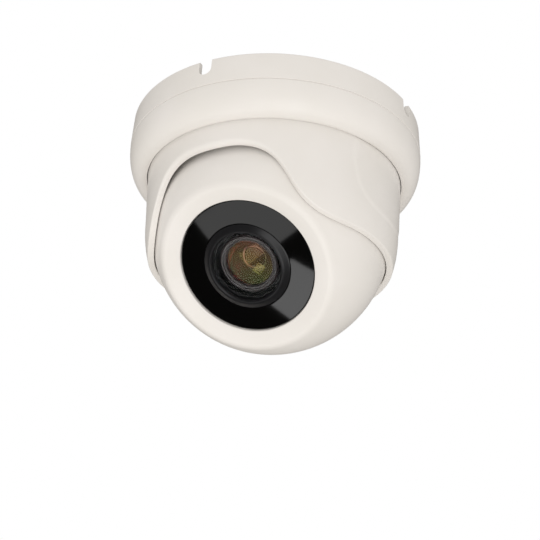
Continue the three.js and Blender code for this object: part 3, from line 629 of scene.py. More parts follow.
def notch_cutter(angle, width, reach):
    """A round-ended slot cut down from the rim, reaching in past the wall."""
    inside = BASE_RADIUS - BASE_WALL - reach
    outside = BASE_RADIUS + BASE_WALL
    end = width / 2 - NOTCH_DEPTH
    middle = (inside + outside) / 2
    slot = block("slot", width, outside - inside, 1 - end, 0, -middle, (1 + end) / 2)
    bottom = rod("slot_end", width / 2, inside, outside, vertices=64)
    lay = Matrix.Translation((0, 0, end * MM)) @ Matrix.Rotation(math.pi / 2, 4, "X")
    put(bottom, lay)
    combine(slot, [bottom], "UNION")
    return put(slot, Matrix.Rotation(angle, 4, "Z"))


def base_housing():
    """The base's shell: a bulging skirt with a scored crease, screw bosses and rim notches."""
    crease = BASE_RADIUS + BASE_BULGE
    rise = list(shoulder(crease, OPENING_RADIUS, -BASE_DEPTH, 28))
    groove_low = -CREASE_DEPTH - CREASE_WIDTH / 2
    outside = [(OPENING_RADIUS, -BASE_DEPTH + 0.3), *[p for p in rise[1:] if p[1] < groove_low]]
    inside = shoulder(crease - BASE_WALL, OPENING_RADIUS + LIP_WIDTH, LIP_TOP, 12)
    corners = [
        *outside,
        (crease - 0.05, groove_low, 0.12),
        (crease - 0.5, -CREASE_DEPTH, 0.05),
        (crease, -CREASE_DEPTH + CREASE_WIDTH / 2, 0.12),
        (BASE_RADIUS, 0, 0.7),
        (BASE_RADIUS - BASE_WALL, 0, 0.4),
        *reversed(list(inside)),
        (OPENING_RADIUS, LIP_TOP, 0.3),
    ]
    piece = turned("base_housing", corners, VERY_FINE)
    bosses = rods("boss", BOSS_RADIUS, -BOSS_DEPTH, PLATE_LOW - GAP, *COVER_SCREWS)
    combine(piece, bosses, "UNION")
    cutters = rods("hole", SCREW_HOLE_RADIUS, 3 - BOSS_DEPTH, 0, *COVER_SCREWS)
    for _, _, angle in around(NOTCH_COUNT, 0):
        cutters.append(notch_cutter(angle, NOTCH_WIDTH, BASE_WALL))
    combine(piece, cutters)
    smooth(piece)
    put(piece, BASE_FRAME)
    return fit(piece, "base", WHITE_ABS, "white_housing", "base_cover")


def mounting_plate():
    """The pressed plate that is screwed to the ceiling."""
    radius = BASE_RADIUS - BASE_WALL - GAP
    outline = ring_corners(PLATE_OPENING_RADIUS, radius, PLATE_LOW, PLATE_TOP, 0.3)
    piece = turned("mounting_plate", outline)
    sink = [
        (0, PLATE_LOW - 1),
        (SCREW_HOLE_RADIUS, PLATE_LOW - 1),
        (SCREW_HOLE_RADIUS, PLATE_LOW),
        (SCREW_HEAD_RADIUS + GAP, PLATE_TOP),
        (SCREW_HEAD_RADIUS + GAP, 1),
        (0, 1),
    ]
    cutters = []
    for x, y, _ in around(3, *COVER_SCREWS):
        place = Matrix.Translation((x * MM, y * MM, 0))
        cutters.append(put(turned("sink", sink, COARSE), place))
    cutters += rods("fixing", FIXING_HOLE_RADIUS, PLATE_LOW - 1, 1, *FIXINGS)
    for _, _, angle in around(NOTCH_COUNT, 0):
        cutters.append(notch_cutter(angle, PLATE_NOTCH_WIDTH, PLATE_NOTCH_REACH))
    combine(piece, cutters)
    smooth(piece)
    put(piece, BASE_FRAME)
    return fit(piece, "base", ZINC_STEEL, "zinc_steel", "mount_plate")


def foam_gasket():
    inner, outer = GASKET_INNER_RADIUS, GASKET_INNER_RADIUS + GASKET_WIDTH
    low = PLATE_TOP + GAP / 3
    corners = [(inner, low), (outer, low), (outer, 0, 0.25), (inner, 0, 0.25)]
    piece = put(turned("ceiling_gasket", corners, FINE), BASE_FRAME)
    return fit(piece, "base", BLACK_FOAM, "black_rubber", "plate_gasket")


def cross_recess(size, top, depth):
    """A tapering cross, for a driver."""
    arms = [
        block("arm", size, size * 0.24, depth * 2, 0, 0, top),
        block("arm", size * 0.24, size, depth * 2, 0, 0, top),
    ]
    point, mouth = top - depth * 1.25, top + depth
    outline = [(0, point), (size * 0.1, point), (size * 0.3, mouth), (0, mouth)]
    return [*arms, turned("core", outline, 16)]


def three_screws(screw, circle, seat, body, node, axes, flip=True):
    """A screw copied to three places round a circle, each on its own CAD node."""
    for i, (x, y, _) in enumerate(around(3, *circle), 1):
        place = axes @ Matrix.Translation((x * MM, y * MM, seat * MM))
        copy = copied(screw, f"{screw.name}_{i}", place @ HALF_TURN if flip else place)
        fit(copy, body, STAINLESS, "stainless_steel", f"{node}_{i}")
    bpy.data.objects.remove(screw)


def cover_screws():
    """Countersunk screws that hold the base's shell to its plate."""
    top = PLATE_TOP - GAP / 3
    neck = PLATE_LOW + GAP / 3
    rim = SCREW_HEAD_RADIUS - 0.1
    corners = [
        (0, 5 - BOSS_DEPTH),
        (1.1, 5 - BOSS_DEPTH, 0.2),
        (1.5, 5.6 - BOSS_DEPTH),
        (1.5, neck, 0.2),
        (rim, top - 0.25, 0.08),
        (rim, top, 0.08),
        (0, top),
    ]
    screw = turned("countersunk_screw", corners, COARSE)
    for tool in cross_recess(3.0, top, 1.0):
        combine(screw, [tool])
    smooth(screw)
    three_screws(screw, COVER_SCREWS, 0, "base", "cover_screw", BASE_FRAME, flip=False)


def glide_ring():
    low = LIP_TOP + GAP / 3
    inner, outer = OPENING_RADIUS + GAP, OPENING_RADIUS + LIP_WIDTH - GAP
    outline = ring_corners(inner, outer, low, low + 1, 0.2)
    piece = put(turned("swivel_glide_ring", outline, FINE), BASE_FRAME)
    return fit(piece, "base", ACETAL, "acetal", "glide_ring")


# ---------------------------------------------------------------- collar


def bezier(points, t):
    """A cubic Bezier curve's point at t."""
    a, b, c, d = ((1 - t) ** 3, 3 * t * (1 - t) ** 2, 3 * t**2 * (1 - t), t**3)
    return [a * p + b * q + c * r + d * s for p, q, r, s in zip(*points)]


def edge_drop(degrees):
    """How far the collar's lower edge has dropped, from 0 in front to 1 at the sides and back."""
    if degrees <= EDGE_CURVE[0][0]:
        return 0.0
    if degrees >= EDGE_CURVE[-1][0]:
        return 1.0
    low, high = 0.0, 1.0
    for _ in range(40):
        middle = (low + high) / 2
        low, high = (middle, high) if bezier(EDGE_CURVE, middle)[0] < degrees else (low, middle)
    return bezier(EDGE_CURVE, low)[1]


def edge_height(degrees):
    """The height of the collar's lower edge, by its place round the collar."""
    turn = abs((degrees - COLLAR_TURN + 180) % 360 - 180)
    return COLLAR_HIGH_EDGE + (COLLAR_LOW_EDGE - COLLAR_HIGH_EDGE) * edge_drop(turn)


def wall_radius(height, radius, top_radius=None):
    """The collar's wall: a sphere below the ball's equator, and nearly a cylinder above it."""
    below = -BALL_DEPTH - height
    if below > 0:
        return math.sqrt(radius**2 - below**2)
    seam = BALL_DEPTH - BASE_DEPTH
    return radius + ((top_radius or radius) - radius) * min(-below / seam, 1)


def pad_lift(degrees, height):
    """The raised pad over each pivot, a rounded oblong that runs up to the seam."""
    turn = abs((degrees + 180) % 360 - 180)
    across = abs(turn - 90) / PAD_HALF_ANGLE
    down = max(-BASE_DEPTH - height, 0) / PAD_DEPTH
    inside = (1 - (across**PAD_POWER + down**PAD_POWER) ** (1 / PAD_POWER)) * PAD_DEPTH
    share = min(max(inside / PAD_SLOPE, 0), 1)
    return PAD_LIFT * share * share * (3 - 2 * share)


def collar_column(degrees, inner_rows, lip_rows, outer_rows):
    """One upright section of the collar: down inside, round the lip and up outside."""
    edge = edge_height(degrees)
    step = 0.25
    slope = (edge_height(degrees + step) - edge_height(degrees - step)) / (
        math.radians(2 * step) * COLLAR_RADIUS
    )
    stretch = math.hypot(1, slope)
    drop = (COLLAR_HIGH_EDGE - edge) / (COLLAR_HIGH_EDGE - COLLAR_LOW_EDGE)
    rounding = LIP_ROUND_LOW + (LIP_ROUND_HIGH - LIP_ROUND_LOW) * (1 - drop) ** 4
    points = []
    for i in range(inner_rows + 1):
        height = COLLAR_TOP + (edge + 0.25 * stretch - COLLAR_TOP) * i / inner_rows
        points.append((wall_radius(height, SOCKET_RADIUS), height))
    points.append((wall_radius(edge, SOCKET_RADIUS) + 0.25, edge))
    for i in range(lip_rows + 1):
        turn = math.pi / 2 * i / lip_rows
        up = rounding * (1 - math.cos(turn)) * stretch
        inward = rounding * (1 - math.sin(turn))
        height = edge + up
        points.append((wall_radius(height, COLLAR_RADIUS, COLLAR_TOP_RADIUS) - inward, height))
    start = points[-1][1]
    for i in range(1, outer_rows + 1):
        height = start + (-BASE_DEPTH - start) * i / outer_rows
        radius = wall_radius(height, COLLAR_RADIUS, COLLAR_TOP_RADIUS)
        points.append((radius + pad_lift(degrees, height), height))
    seam = OPENING_RADIUS - SEAM_GAP
    points.append((seam, -BASE_DEPTH + 0.5))
    points.append((seam, -BASE_DEPTH + 0.9))
    points.append((COLLAR_TOP_RADIUS, -BASE_DEPTH + 1.0))
    points.append((COLLAR_TOP_RADIUS, COLLAR_TOP))
    return points


def collar_housing(columns=540):
    """The collar's shell, a grid bent round to a closed wall."""
    rows = len(collar_column(0, 10, 8, 66))
    bpy.ops.object.select_all(action="DESELECT")
    bpy.ops.mesh.primitive_grid_add(x_subdivisions=rows, y_subdivisions=columns)
    piece = named("collar_housing")
    vertices = piece.data.vertices
    for i in range(columns + 1):
        degrees = 360 * (i % columns) / columns
        turn = math.radians(degrees)
        column = collar_column(degrees, 10, 8, 66)
        for j, (radius, height) in enumerate([*column, column[0]]):
            place = (radius * math.sin(turn), -radius * math.cos(turn), height)
            vertices[i * (rows + 1) + j].co = Vector(place) * MM
    with editing(piece):
        bpy.ops.mesh.remove_doubles(threshold=0.001 * MM)
    combine(piece, rods("boss", 3.0, COLLAR_TOP - 6, COLLAR_TOP, *PAN_SCREWS), "UNION")
    holes = rods("hole", SCREW_HOLE_RADIUS, COLLAR_TOP - 5, COLLAR_TOP + 1, *PAN_SCREWS)
    combine(piece, [*holes, *pivot_rods(1.8, 40, COLLAR_RADIUS - 0.6)])
    smooth(piece, 40)
    return fit(piece, "collar", WHITE_ABS, "white_housing", "collar_shell")


def pivot_side(side, centre=PIVOT_CENTRE):
    """Lays Z along the pivot's line, to the right (1) or left (-1)."""
    return Matrix.Translation(centre) @ Matrix.Rotation(side * math.pi / 2, 4, "Y")


def pivot_rods(radius, low, high, centre=PIVOT_CENTRE):
    """Plain cylinders along the pivot's line, one on each side."""
    return [put(rod("pin", radius, low, high), pivot_side(side, centre)) for side in (1, -1)]


def retaining_ring():
    """The ring over the base's lip that keeps the collar in."""
    low, high = RING_LOW, RING_LOW + RING_THICKNESS
    outer = OPENING_RADIUS + LIP_WIDTH - GAP
    outline = ring_corners(RING_INNER_RADIUS, outer, low, high, 0.3)
    piece = turned("swivel_retaining_ring", outline)
    combine(piece, rods("hole", SCREW_HOLE_RADIUS, low - 1, high + 1, *PAN_SCREWS))
    smooth(piece)
    return fit(piece, "collar", ZINC_STEEL, "zinc_steel", "retaining_ring")


def pan_head_screw(name, length, head_radius):
    """A pan-head screw pointing down, its head's underside at height zero."""
    head = 1.6
    corners = [
        (0, -length),
        (1.0, -length, 0.2),
        (1.5, -length + 0.7),
        (1.5, 0),
        (head_radius, 0, 0.15),
        (head_radius, head * 0.5, 0.45),
        (head_radius * 0.6, head, 0.5),
        (0, head),
    ]
    piece = turned(name, corners, COARSE)
    for tool in cross_recess(head_radius * 1.05, head, 0.8):
        combine(piece, [tool])
    smooth(piece)
    return piece


def retaining_screws():
    screw = pan_head_screw("swivel_screw", 6, 2.3)
    seat = RING_LOW + RING_THICKNESS + GAP / 3
    axes = Matrix.Identity(4)
    three_screws(screw, PAN_SCREWS, seat, "collar", "retaining_screw", axes, flip=False)


def swivel_seal():
    middle = -BASE_DEPTH + BASE_WALL / 2
    inner, outer = COLLAR_TOP_RADIUS + 0.1, OPENING_RADIUS - 0.3
    piece = turned("swivel_lip_seal", ring_corners(inner, outer, middle - 0.4, middle + 0.4))
    return fit(piece, "collar", BLACK_RUBBER, "black_rubber", "swivel_seal")


def pivot_screws():
    """The shoulder screws that the ball tilts on, driven from inside it."""
    neck = INNER_RADIUS - 2.2
    screw = pan_head_screw("tilt_pivot_screw", COLLAR_RADIUS - 0.9 - neck, SCREW_HEAD_RADIUS)
    put(screw, Matrix.Translation((0, 0, neck * MM)) @ HALF_TURN)
    for side, name in SIDES:
        copy = copied(screw, f"tilt_pivot_screw_{name}", pivot_side(side))
        fit(copy, "collar", STAINLESS, "stainless_steel", f"pivot_screw_{name}")
    bpy.data.objects.remove(screw)


# ---------------------------------------------------------------- ball


def sphere_arc(radius, low, high, steps):
    """Points up a sphere's outline between two heights."""
    start, end = math.asin(low / radius), math.asin(high / radius)
    for i in range(steps + 1):
        angle = start + (end - start) * i / steps
        yield radius * math.cos(angle), radius * math.sin(angle)


def bezel_round(steps=8):
    """The soft shoulder where the sphere turns over into the bezel."""
    start_radius = BEZEL_RADIUS + BEZEL_ROUND
    start = Vector((start_radius, math.sqrt(BALL_RADIUS**2 - start_radius**2)))
    middle = Vector((BEZEL_RADIUS + BEZEL_ROUND / 2, BEZEL_HEIGHT + 0.5))
    end = Vector((BEZEL_RADIUS, BEZEL_HEIGHT))
    for i in range(1, steps + 1):
        t = i / steps
        yield tuple((1 - t) ** 2 * start + 2 * t * (1 - t) * middle + t * t * end)


def ball_front():
    """The ball's front shell, with the seat for the trim and the posts for the lens."""
    seat_low = SEAT_TOP - 2
    flange_top = SEAM + FRONT_FLANGE
    start_radius = BEZEL_RADIUS + BEZEL_ROUND
    start_height = math.sqrt(BALL_RADIUS**2 - start_radius**2)
    corners = [
        (SEAT_RADIUS, seat_low, 0.3),
        *list(sphere_arc(INNER_RADIUS, flange_top, seat_low, 14))[::-1],
        (FLANGE_RADIUS, flange_top),
        (FLANGE_RADIUS, SEAM, 0.3),
        (math.sqrt(BALL_RADIUS**2 - SEAM**2), SEAM, 0.35),
        *list(sphere_arc(BALL_RADIUS, SEAM, start_height, 40))[1:],
        *bezel_round(),
        (WINDOW_RADIUS, WINDOW_HEIGHT, 0.5),
        (WINDOW_RADIUS, SEAT_TOP, 0.3),
        (SEAT_RADIUS, SEAT_TOP, 0.3),
    ]
    piece = turned("ball_front_housing", corners, VERY_FINE)
    foot = BRACKET_HEIGHT + BRACKET_THICKNESS + GAP
    combine(piece, rods("post", 3.0, foot, SEAT_TOP - 1, *BRACKET_SCREWS), "UNION")
    cutters = rods("hole", SCREW_HOLE_RADIUS, foot - 1, foot + 8, *BRACKET_SCREWS)
    cutters += rods("hole", SCREW_HOLE_RADIUS, SEAM - 1, SEAM + 3, *SHELL_SCREWS)
    cutters += pivot_rods(BUSH_RADIUS + GAP, 40, 60, Vector())
    combine(piece, cutters)
    combine(piece, pivot_rods(BUSH_FLANGE + GAP, 40, INNER_RADIUS - 0.5, Vector()))
    smooth(piece)
    put(piece, HEAD_FRAME)
    return fit(piece, "ball", WHITE_ABS, "white_housing", "ball_front_shell")


def ball_rear():
    """The ball's rear shell, with its screw pockets and the cable's hole in its flat."""
    top = SEAM - GAP
    low = top - REAR_FLANGE
    flat_inside = BALL_WALL - REAR_FLAT
    corners = [
        (FLANGE_RADIUS, top, 0.3),
        (FLANGE_RADIUS, low, 0.3),
        *list(sphere_arc(INNER_RADIUS, flat_inside, low, 20))[::-1],
        (GROMMET_HOLE, flat_inside, 0.3),
        (GROMMET_HOLE, -REAR_FLAT, 0.3),
        *list(sphere_arc(BALL_RADIUS, -REAR_FLAT, top, 40))[:-1],
        (math.sqrt(BALL_RADIUS**2 - top**2), top, 0.3),
        (SEAL_OUTER, top),
        (SEAL_OUTER, top - SEAL_DEPTH),
        (SEAL_INNER, top - SEAL_DEPTH),
        (SEAL_INNER, top),
    ]
    piece = turned("ball_rear_housing", corners, VERY_FINE)
    pocket = 2.5
    arc = list(sphere_arc(BALL_RADIUS, -BALL_RADIUS, top, 32))[1:]
    ball = turned("ball", [(0, -BALL_RADIUS), *arc, (0, top)], MEDIUM)
    towers = merged(rods("tower", pocket + 1.2, -REAR_FLAT / 2, low + 1, *SHELL_SCREWS))
    combine(towers, [ball], "INTERSECT")
    combine(piece, [towers], "UNION")
    combine(piece, rods("pocket", pocket, -REAR_FLAT, low, *SHELL_SCREWS))
    combine(piece, rods("hole", SCREW_HOLE_RADIUS, low - 1, top + 1, *SHELL_SCREWS))
    smooth(piece)
    put(piece, HEAD_FRAME)
    return fit(piece, "ball", WHITE_ABS, "white_housing", "ball_rear_shell")


def head_piece(name, corners, body, material, slot, *nodes, steps=FINE):
    """A piece turned about the optical axis, in its place in the ball."""
    piece = put(turned(name, corners, steps), HEAD_FRAME)
    return fit(piece, body, material, slot, *nodes)


def ball_fittings():
    """The seal in the ball's seam, the screws across it and the bushes of the pivots."""
    top = SEAM - GAP
    seal = ring_corners(SEAL_INNER + GAP, SEAL_OUTER - GAP, top - SEAL_DEPTH + GAP, top, 0.3)
    head_piece("ball_seam_seal", seal, "ball", BLACK_RUBBER, "black_rubber", "ball_seal")
    screw = pan_head_screw("housing_screw", REAR_FLANGE + 2, 2.1)
    seat = SEAM - 2 * GAP - REAR_FLANGE
    three_screws(screw, SHELL_SCREWS, seat, "ball", "shell_screw", HEAD_FRAME)
    low, high = INNER_RADIUS - 1.9, INNER_RADIUS - 0.8
    end = BALL_RADIUS - 0.3
    corners = [
        (BUSH_BORE, low, 0.15),
        (BUSH_FLANGE, low, 0.25),
        (BUSH_FLANGE, high, 0.1),
        (BUSH_RADIUS, high),
        (BUSH_RADIUS, end, 0.2),
        (BUSH_BORE, end, 0.1),
    ]
    bush = turned("tilt_bush", corners, MEDIUM)
    for side, name in SIDES:
        copy = copied(bush, f"tilt_bush_{name}", pivot_side(side))
        fit(copy, "ball", NATURAL_NYLON, "nylon", f"pivot_bush_{name}")
    bpy.data.objects.remove(bush)


def front_trim():
    """The black cone round the window, its foam gasket, the window and the window's seal."""
    bore = GLASS_RADIUS + GAP
    rim = WINDOW_RADIUS - GAP
    foot = GLASS_TOP + GAP / 2
    corners = [
        (bore, TRIM_LOW),
        (rim, TRIM_LOW),
        (rim, TRIM_EDGE_TOP, 0.35),
        (TRIM_RING_RADIUS + 0.2, TRIM_RING_FOOT, 0.5),
        (TRIM_RING_BORE + 1.7, TRIM_RING_TOP - 0.25, 0.5),
        (TRIM_RING_BORE + 0.75, TRIM_RING_TOP, 0.3),
        (TRIM_RING_BORE, TRIM_RING_TOP - 0.7, 0.2),
        (TRIM_RING_BORE, foot),
        (bore, foot),
    ]
    slot = "black_gloss_trim"
    head_piece(
        "front_trim_cone", corners, "ball", BLACK_ACRYLIC, slot, "front_trim", steps=VERY_FINE
    )
    low, high = SEAT_TOP + GAP / 2, TRIM_LOW - GAP / 2
    gasket = ring_corners(SEAT_RADIUS + GAP, WINDOW_RADIUS - 2 * GAP, low, high)
    head_piece("trim_foam_gasket", gasket, "ball", BLACK_FOAM, "black_rubber", "trim_gasket")
    glass = [
        (0, GLASS_LOW),
        (GLASS_RADIUS, GLASS_LOW, 0.2),
        (GLASS_RADIUS, GLASS_TOP, 0.2),
        (0, GLASS_TOP),
    ]
    window = head_piece("lens_window", glass, "ball", WINDOW_GLASS, "clear_glass", "front_glass")
    window.visible_shadow = False
    low, high = GLASS_LOW - 1.3, GLASS_LOW - GAP / 2
    seal = ring_corners(GLASS_RADIUS - 2, GLASS_RADIUS, low, high, 0.3)
    head_piece("window_seal", seal, "ball", BLACK_RUBBER, "black_rubber", "glass_seal")


def lens_bracket():
    low, high = BRACKET_HEIGHT, BRACKET_HEIGHT + BRACKET_THICKNESS
    outline = ring_corners(CARRIER_RADIUS + GAP, BRACKET_RADIUS, low, high, 0.3)
    piece = turned("lens_bracket_ring", outline)
    combine(piece, rods("hole", SCREW_HOLE_RADIUS, low - 1, high + 1, *BRACKET_SCREWS))
    smooth(piece)
    put(piece, HEAD_FRAME)
    fit(piece, "ball", ZINC_STEEL, "zinc_steel", "bracket")
    screw = pan_head_screw("lens_bracket_screw", 8, SCREW_HEAD_RADIUS)
    seat = BRACKET_HEIGHT - GAP / 2
    three_screws(screw, BRACKET_SCREWS, seat, "ball", "bracket_screw", HEAD_FRAME)


def cable_grommet():
    outside = -REAR_FLAT - GAP / 2
    inside = BALL_WALL - REAR_FLAT + GAP / 2
    corners = [
        (3, outside - 1.4, 0.4),
        (GROMMET_HOLE + 2, outside - 1.4, 0.8),
        (GROMMET_HOLE + 2, outside, 0.2),
        (GROMMET_HOLE - GAP, outside),
        (GROMMET_HOLE - GAP, inside),
        (GROMMET_HOLE + 1.3, inside, 0.2),
        (GROMMET_HOLE + 1.3, inside + 1, 0.4),
        (3, inside + 1, 0.3),
    ]
    node = "cable_grommet"
    head_piece(
        "cable_grommet_rubber", corners, "ball", BLACK_RUBBER, "black_rubber", node, steps=MEDIUM
    )


# ---------------------------------------------------------------- lens


def knurled_ring(name, low):
    """A lens ring with a knurled rim."""
    inner = BARREL_RADIUS + GAP
    outer = inner + LENS_RING_WALL
    piece = turned(name, ring_corners(inner, outer, low, low + LENS_RING_LENGTH, 0.3), FINE)
    with editing(piece):
        bpy.ops.mesh.select_all(action="DESELECT")
    rim = [
        face
        for face in piece.data.polygons
        if face.normal.z ** 2 < 0.01 and Vector(face.center[:2]).length > (outer - 0.05) * MM
    ]
    for i, face in enumerate(sorted(rim, key=lambda f: math.atan2(f.center.y, f.center.x))):
        face.select = i % 2 == 0
    only(piece)
    bpy.ops.object.mode_set(mode="EDIT")
    bpy.ops.mesh.select_mode(type="FACE")
    bpy.ops.mesh.inset(thickness=0.04 * MM, use_individual=True)
    bpy.ops.mesh.extrude_region_shrink_fatten(TRANSFORM_OT_shrink_fatten={"value": -0.18 * MM})
    bpy.ops.object.mode_set(mode="OBJECT")
    return piece


def thumb_screw():
    """A lens ring's lever, which also locks it: a thumb screw along Z, outward from the axis."""
    start = BARREL_RADIUS + 2 * GAP
    corners = [
        (0, start),
        (0.8, start, 0.1),
        (1.0, start + 0.4),
        (1.0, start + 4.5),
        (1.9, start + 4.5, 0.25),
        (1.9, start + 8.5, 0.35),
        (1.2, start + 8.5, 0.1),
        (1.1, start + 8.1, 0.1),
        (0, start + 8.1),
    ]
    return turned("thumb_screw", corners, MEDIUM)


def rings_and_levers():
    """The zoom and focus rings, each with a hole for its thumb screw, and the two screws."""
    screw = thumb_screw()
    for group, low, angle in (
        ("zoom", ZOOM_RING_LOW, ZOOM_LEVER_ANGLE),
        ("focus", FOCUS_RING_LOW, FOCUS_LEVER_ANGLE),
    ):
        lift = Matrix.Translation((0, 0, (low + LENS_RING_LENGTH / 2) * MM))
        turn = Matrix.Rotation(math.radians(angle), 4, "Z")
        lever = lift @ turn @ Matrix.Rotation(math.pi / 2, 4, "Y")
        name = f"{group}_ring"
        piece = knurled_ring(f"{name}_knurled", low)
        hole = rod("hole", 1.3, 0, 2 * (BARREL_RADIUS + GAP), vertices=24)
        combine(piece, [put(hole, lever)])
        smooth(piece, 30)
        put(piece, HEAD_FRAME)
        fit(piece, name, BLACK_NYLON, "black_plastic", name)
        handle = copied(screw, f"{group}_thumb_screw", HEAD_FRAME @ lever)
        fit(handle, f"{group}_lock", STAINLESS, "stainless_steel", f"{group}_lever")
    bpy.data.objects.remove(screw)


def lens_barrel():
    inner = BARREL_RADIUS - BARREL_WALL
    waist = BARREL_RADIUS - 0.3
    corners = [
        (inner, BARREL_LOW, 0.2),
        (BARREL_RADIUS, BARREL_LOW, 0.3),
        (BARREL_RADIUS, ZOOM_RING_LOW - GAP, 0.1),
        (waist, ZOOM_RING_LOW - GAP / 2),
        (waist, BARREL_TOP - 0.4, 0.1),
        (BARREL_RADIUS, BARREL_TOP - 0.3, 0.05),
        (BARREL_RADIUS, BARREL_TOP, 0.15),
        (inner, BARREL_TOP, 0.2),
    ]
    slot = "black_aluminium"
    head_piece("lens_barrel_tube", corners, "lens_module", ANODISED, slot, "lens_barrel")


def front_group():
    """The focusing group: a turned cell with stepped rings, its front element, the baffle inside
    and the element behind."""
    stem = BARREL_RADIUS - BARREL_WALL - GAP
    seat = FRONT_GLASS_RADIUS + GAP
    top = FRONT_CELL_TOP
    head = FRONT_CELL_HEAD
    low = head - 7.4
    corners = [
        (stem - 1.2, low),
        (stem, low, 0.15),
        (stem, head),
        (FRONT_CELL_RADIUS, head, 0.2),
        (FRONT_CELL_RADIUS, top - 0.9, 0.3),
        (12.5, top - 0.1, 0.3),
        (12.1, top, 0.25),
        (11.7, top - 0.1, 0.2),
        (11.6, top - 0.75, 0.15),
        (11.15, top - 0.8, 0.1),
        (11.05, top - 0.45, 0.25),
        (seat, top - 0.5, 0.25),
        (seat, head + 0.5),
        (stem - 1.2, head + 0.5, 0.1),
    ]
    body, metal, glass = "focus_group", "black_aluminium", "coated_glass"
    head_piece(
        "front_lens_cell", corners, body, ANODISED, metal, "front_cell", steps=VERY_FINE
    )
    radius = FRONT_GLASS_RADIUS
    outward = [1 - i / 12 for i in range(13)]
    element = [(7.6 * i / 8, head + 1 - 0.9 * (1 - (i / 8) ** 2)) for i in range(9)]
    element += [(radius - 0.2, head + 0.7), (radius, head + 0.9)]
    element += [(radius * t, FRONT_GLASS_CROWN - 1.35 * t**2) for t in outward]
    lens = head_piece("front_element", element, body, FRONT_COATING, glass, "front_lens")
    lens.visible_shadow = False
    baffle = [
        (9.0, head + 0.3, 0.1),
        (8.4, head + 0.3, 0.1),
        (4.3, head - 4.7, 0.1),
        (4.3, head - 6.0, 0.1),
        (4.9, head - 6.0, 0.1),
        (4.9, head - 5.0),
        (9.0, head - 0.4),
    ]
    head_piece("front_group_baffle", baffle, body, BAFFLE_PAINT, metal)
    # A thin pale nylon ring round the second element: a painted highlight that stands in for the
    # glint on that element's edge.
    rim = ring_corners(3.75, 4.15, head - 5.2, head - 4.95, 0.08)
    head_piece("second_element_highlight_ring", rim, body, NATURAL_NYLON, "nylon", steps=MEDIUM)
    bead = [(0, head - 6.6), (4.0, head - 5.9, 0.05), (4.0, head - 5.3, 0.05)]
    bead += [(4.0 * (1 - i / 8), head - 4.0 - 1.1 * (1 - i / 8) ** 2) for i in range(9)]
    inner = head_piece("second_element", bead, body, INNER_COATING, glass, steps=MEDIUM)
    inner.visible_shadow = False


def zoom_group():
    low = ZOOM_CELL_LOW
    bore = ZOOM_CELL_BORE
    outer = BARREL_RADIUS - BARREL_WALL - GAP
    corners = [
        (bore, low, 0.1),
        (outer, low, 0.2),
        (outer, low + 4.5, 0.2),
        (bore + 0.6, low + 4.5, 0.1),
        (bore, low + 3.9, 0.1),
    ]
    body = "zoom_group"
    head_piece("zoom_lens_cell", corners, body, BLACK_NYLON, "black_plastic", "zoom_cell")
    radius = bore - GAP
    element = [(radius * i / 8, low + 0.4 + 0.8 * (i / 8) ** 2) for i in range(9)]
    element += [(radius * (1 - i / 8), low + 4.2 - 1.0 * (1 - i / 8) ** 2) for i in range(9)]
    glass = "coated_glass"
    head_piece("zoom_element", element, body, INNER_COATING, glass, "zoom_lens", steps=MEDIUM)


def carrier():
    low, high = BRACKET_HEIGHT - GAP, BRACKET_HEIGHT + BRACKET_THICKNESS + GAP
    bore = BARREL_RADIUS + GAP
    flange = CARRIER_RADIUS + 3
    corners = [
        (bore, low, 0.2),
        (CARRIER_RADIUS, low, 0.3),
        (CARRIER_RADIUS, high),
        (flange, high, 0.2),
        (flange, high + 1.5, 0.5),
        (bore, high + 1.5, 0.3),
    ]
    body, slot = "lens_module", "black_plastic"
    head_piece("lens_carrier_disc", corners, body, BLACK_NYLON, slot, "lens_carrier")
    top = BRACKET_HEIGHT - 2 * GAP
    clip = ring_corners(CARRIER_RADIUS - 5, flange, top - 1.4, top, 0.3)
    head_piece("lens_carrier_clip", clip, body, BLACK_NYLON, slot, "carrier_clip")


# ---------------------------------------------------------------- pieces kept as the CAD made them

KEPT = (
    (SOLDER_MASK, ("sensor_board", "main_board")),
    (BRASS, [f"board_spacer_{i}" for i in range(1, 5)]),
    (CHIP_EPOXY, ("image_sensor", "processor")),
    (NATURAL_NYLON, ("board_connector",)),
    (BLACK_NYLON, ("lens_mount", "filter_coil", "filter_frame", "iris_plate")),
    (INNER_COATING, ("ir_cut_filter", "rear_lens")),
    (WINDOW_GLASS, ("clear_filter",)),
)


def dress_kept_pieces():
    for material, names in KEPT:
        for name in names:
            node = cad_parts[name]
            node.data.materials.clear()
            node.data.materials.append(material)


# ---------------------------------------------------------------- studio


def panel(name, direction, distance, width, height, strength, aim=(0, 0, -0.05), colour="#ffffff"):
    """A flat soft light that faces the camera from a direction."""
    light = bpy.data.lights.new(name, "AREA")
    light.shape = "RECTANGLE"
    light.size, light.size_y = width, height
    light.energy = strength
    light.color = linear(colour)[:3]
    lamp = bpy.data.objects.new(name, light)
    bpy.context.scene.collection.objects.link(lamp)
    place = Vector(aim) + Vector(direction).normalized() * distance
    lamp.location = place
    lamp.rotation_euler = (place - Vector(aim)).to_track_quat("Z", "Y").to_euler()
    return lamp


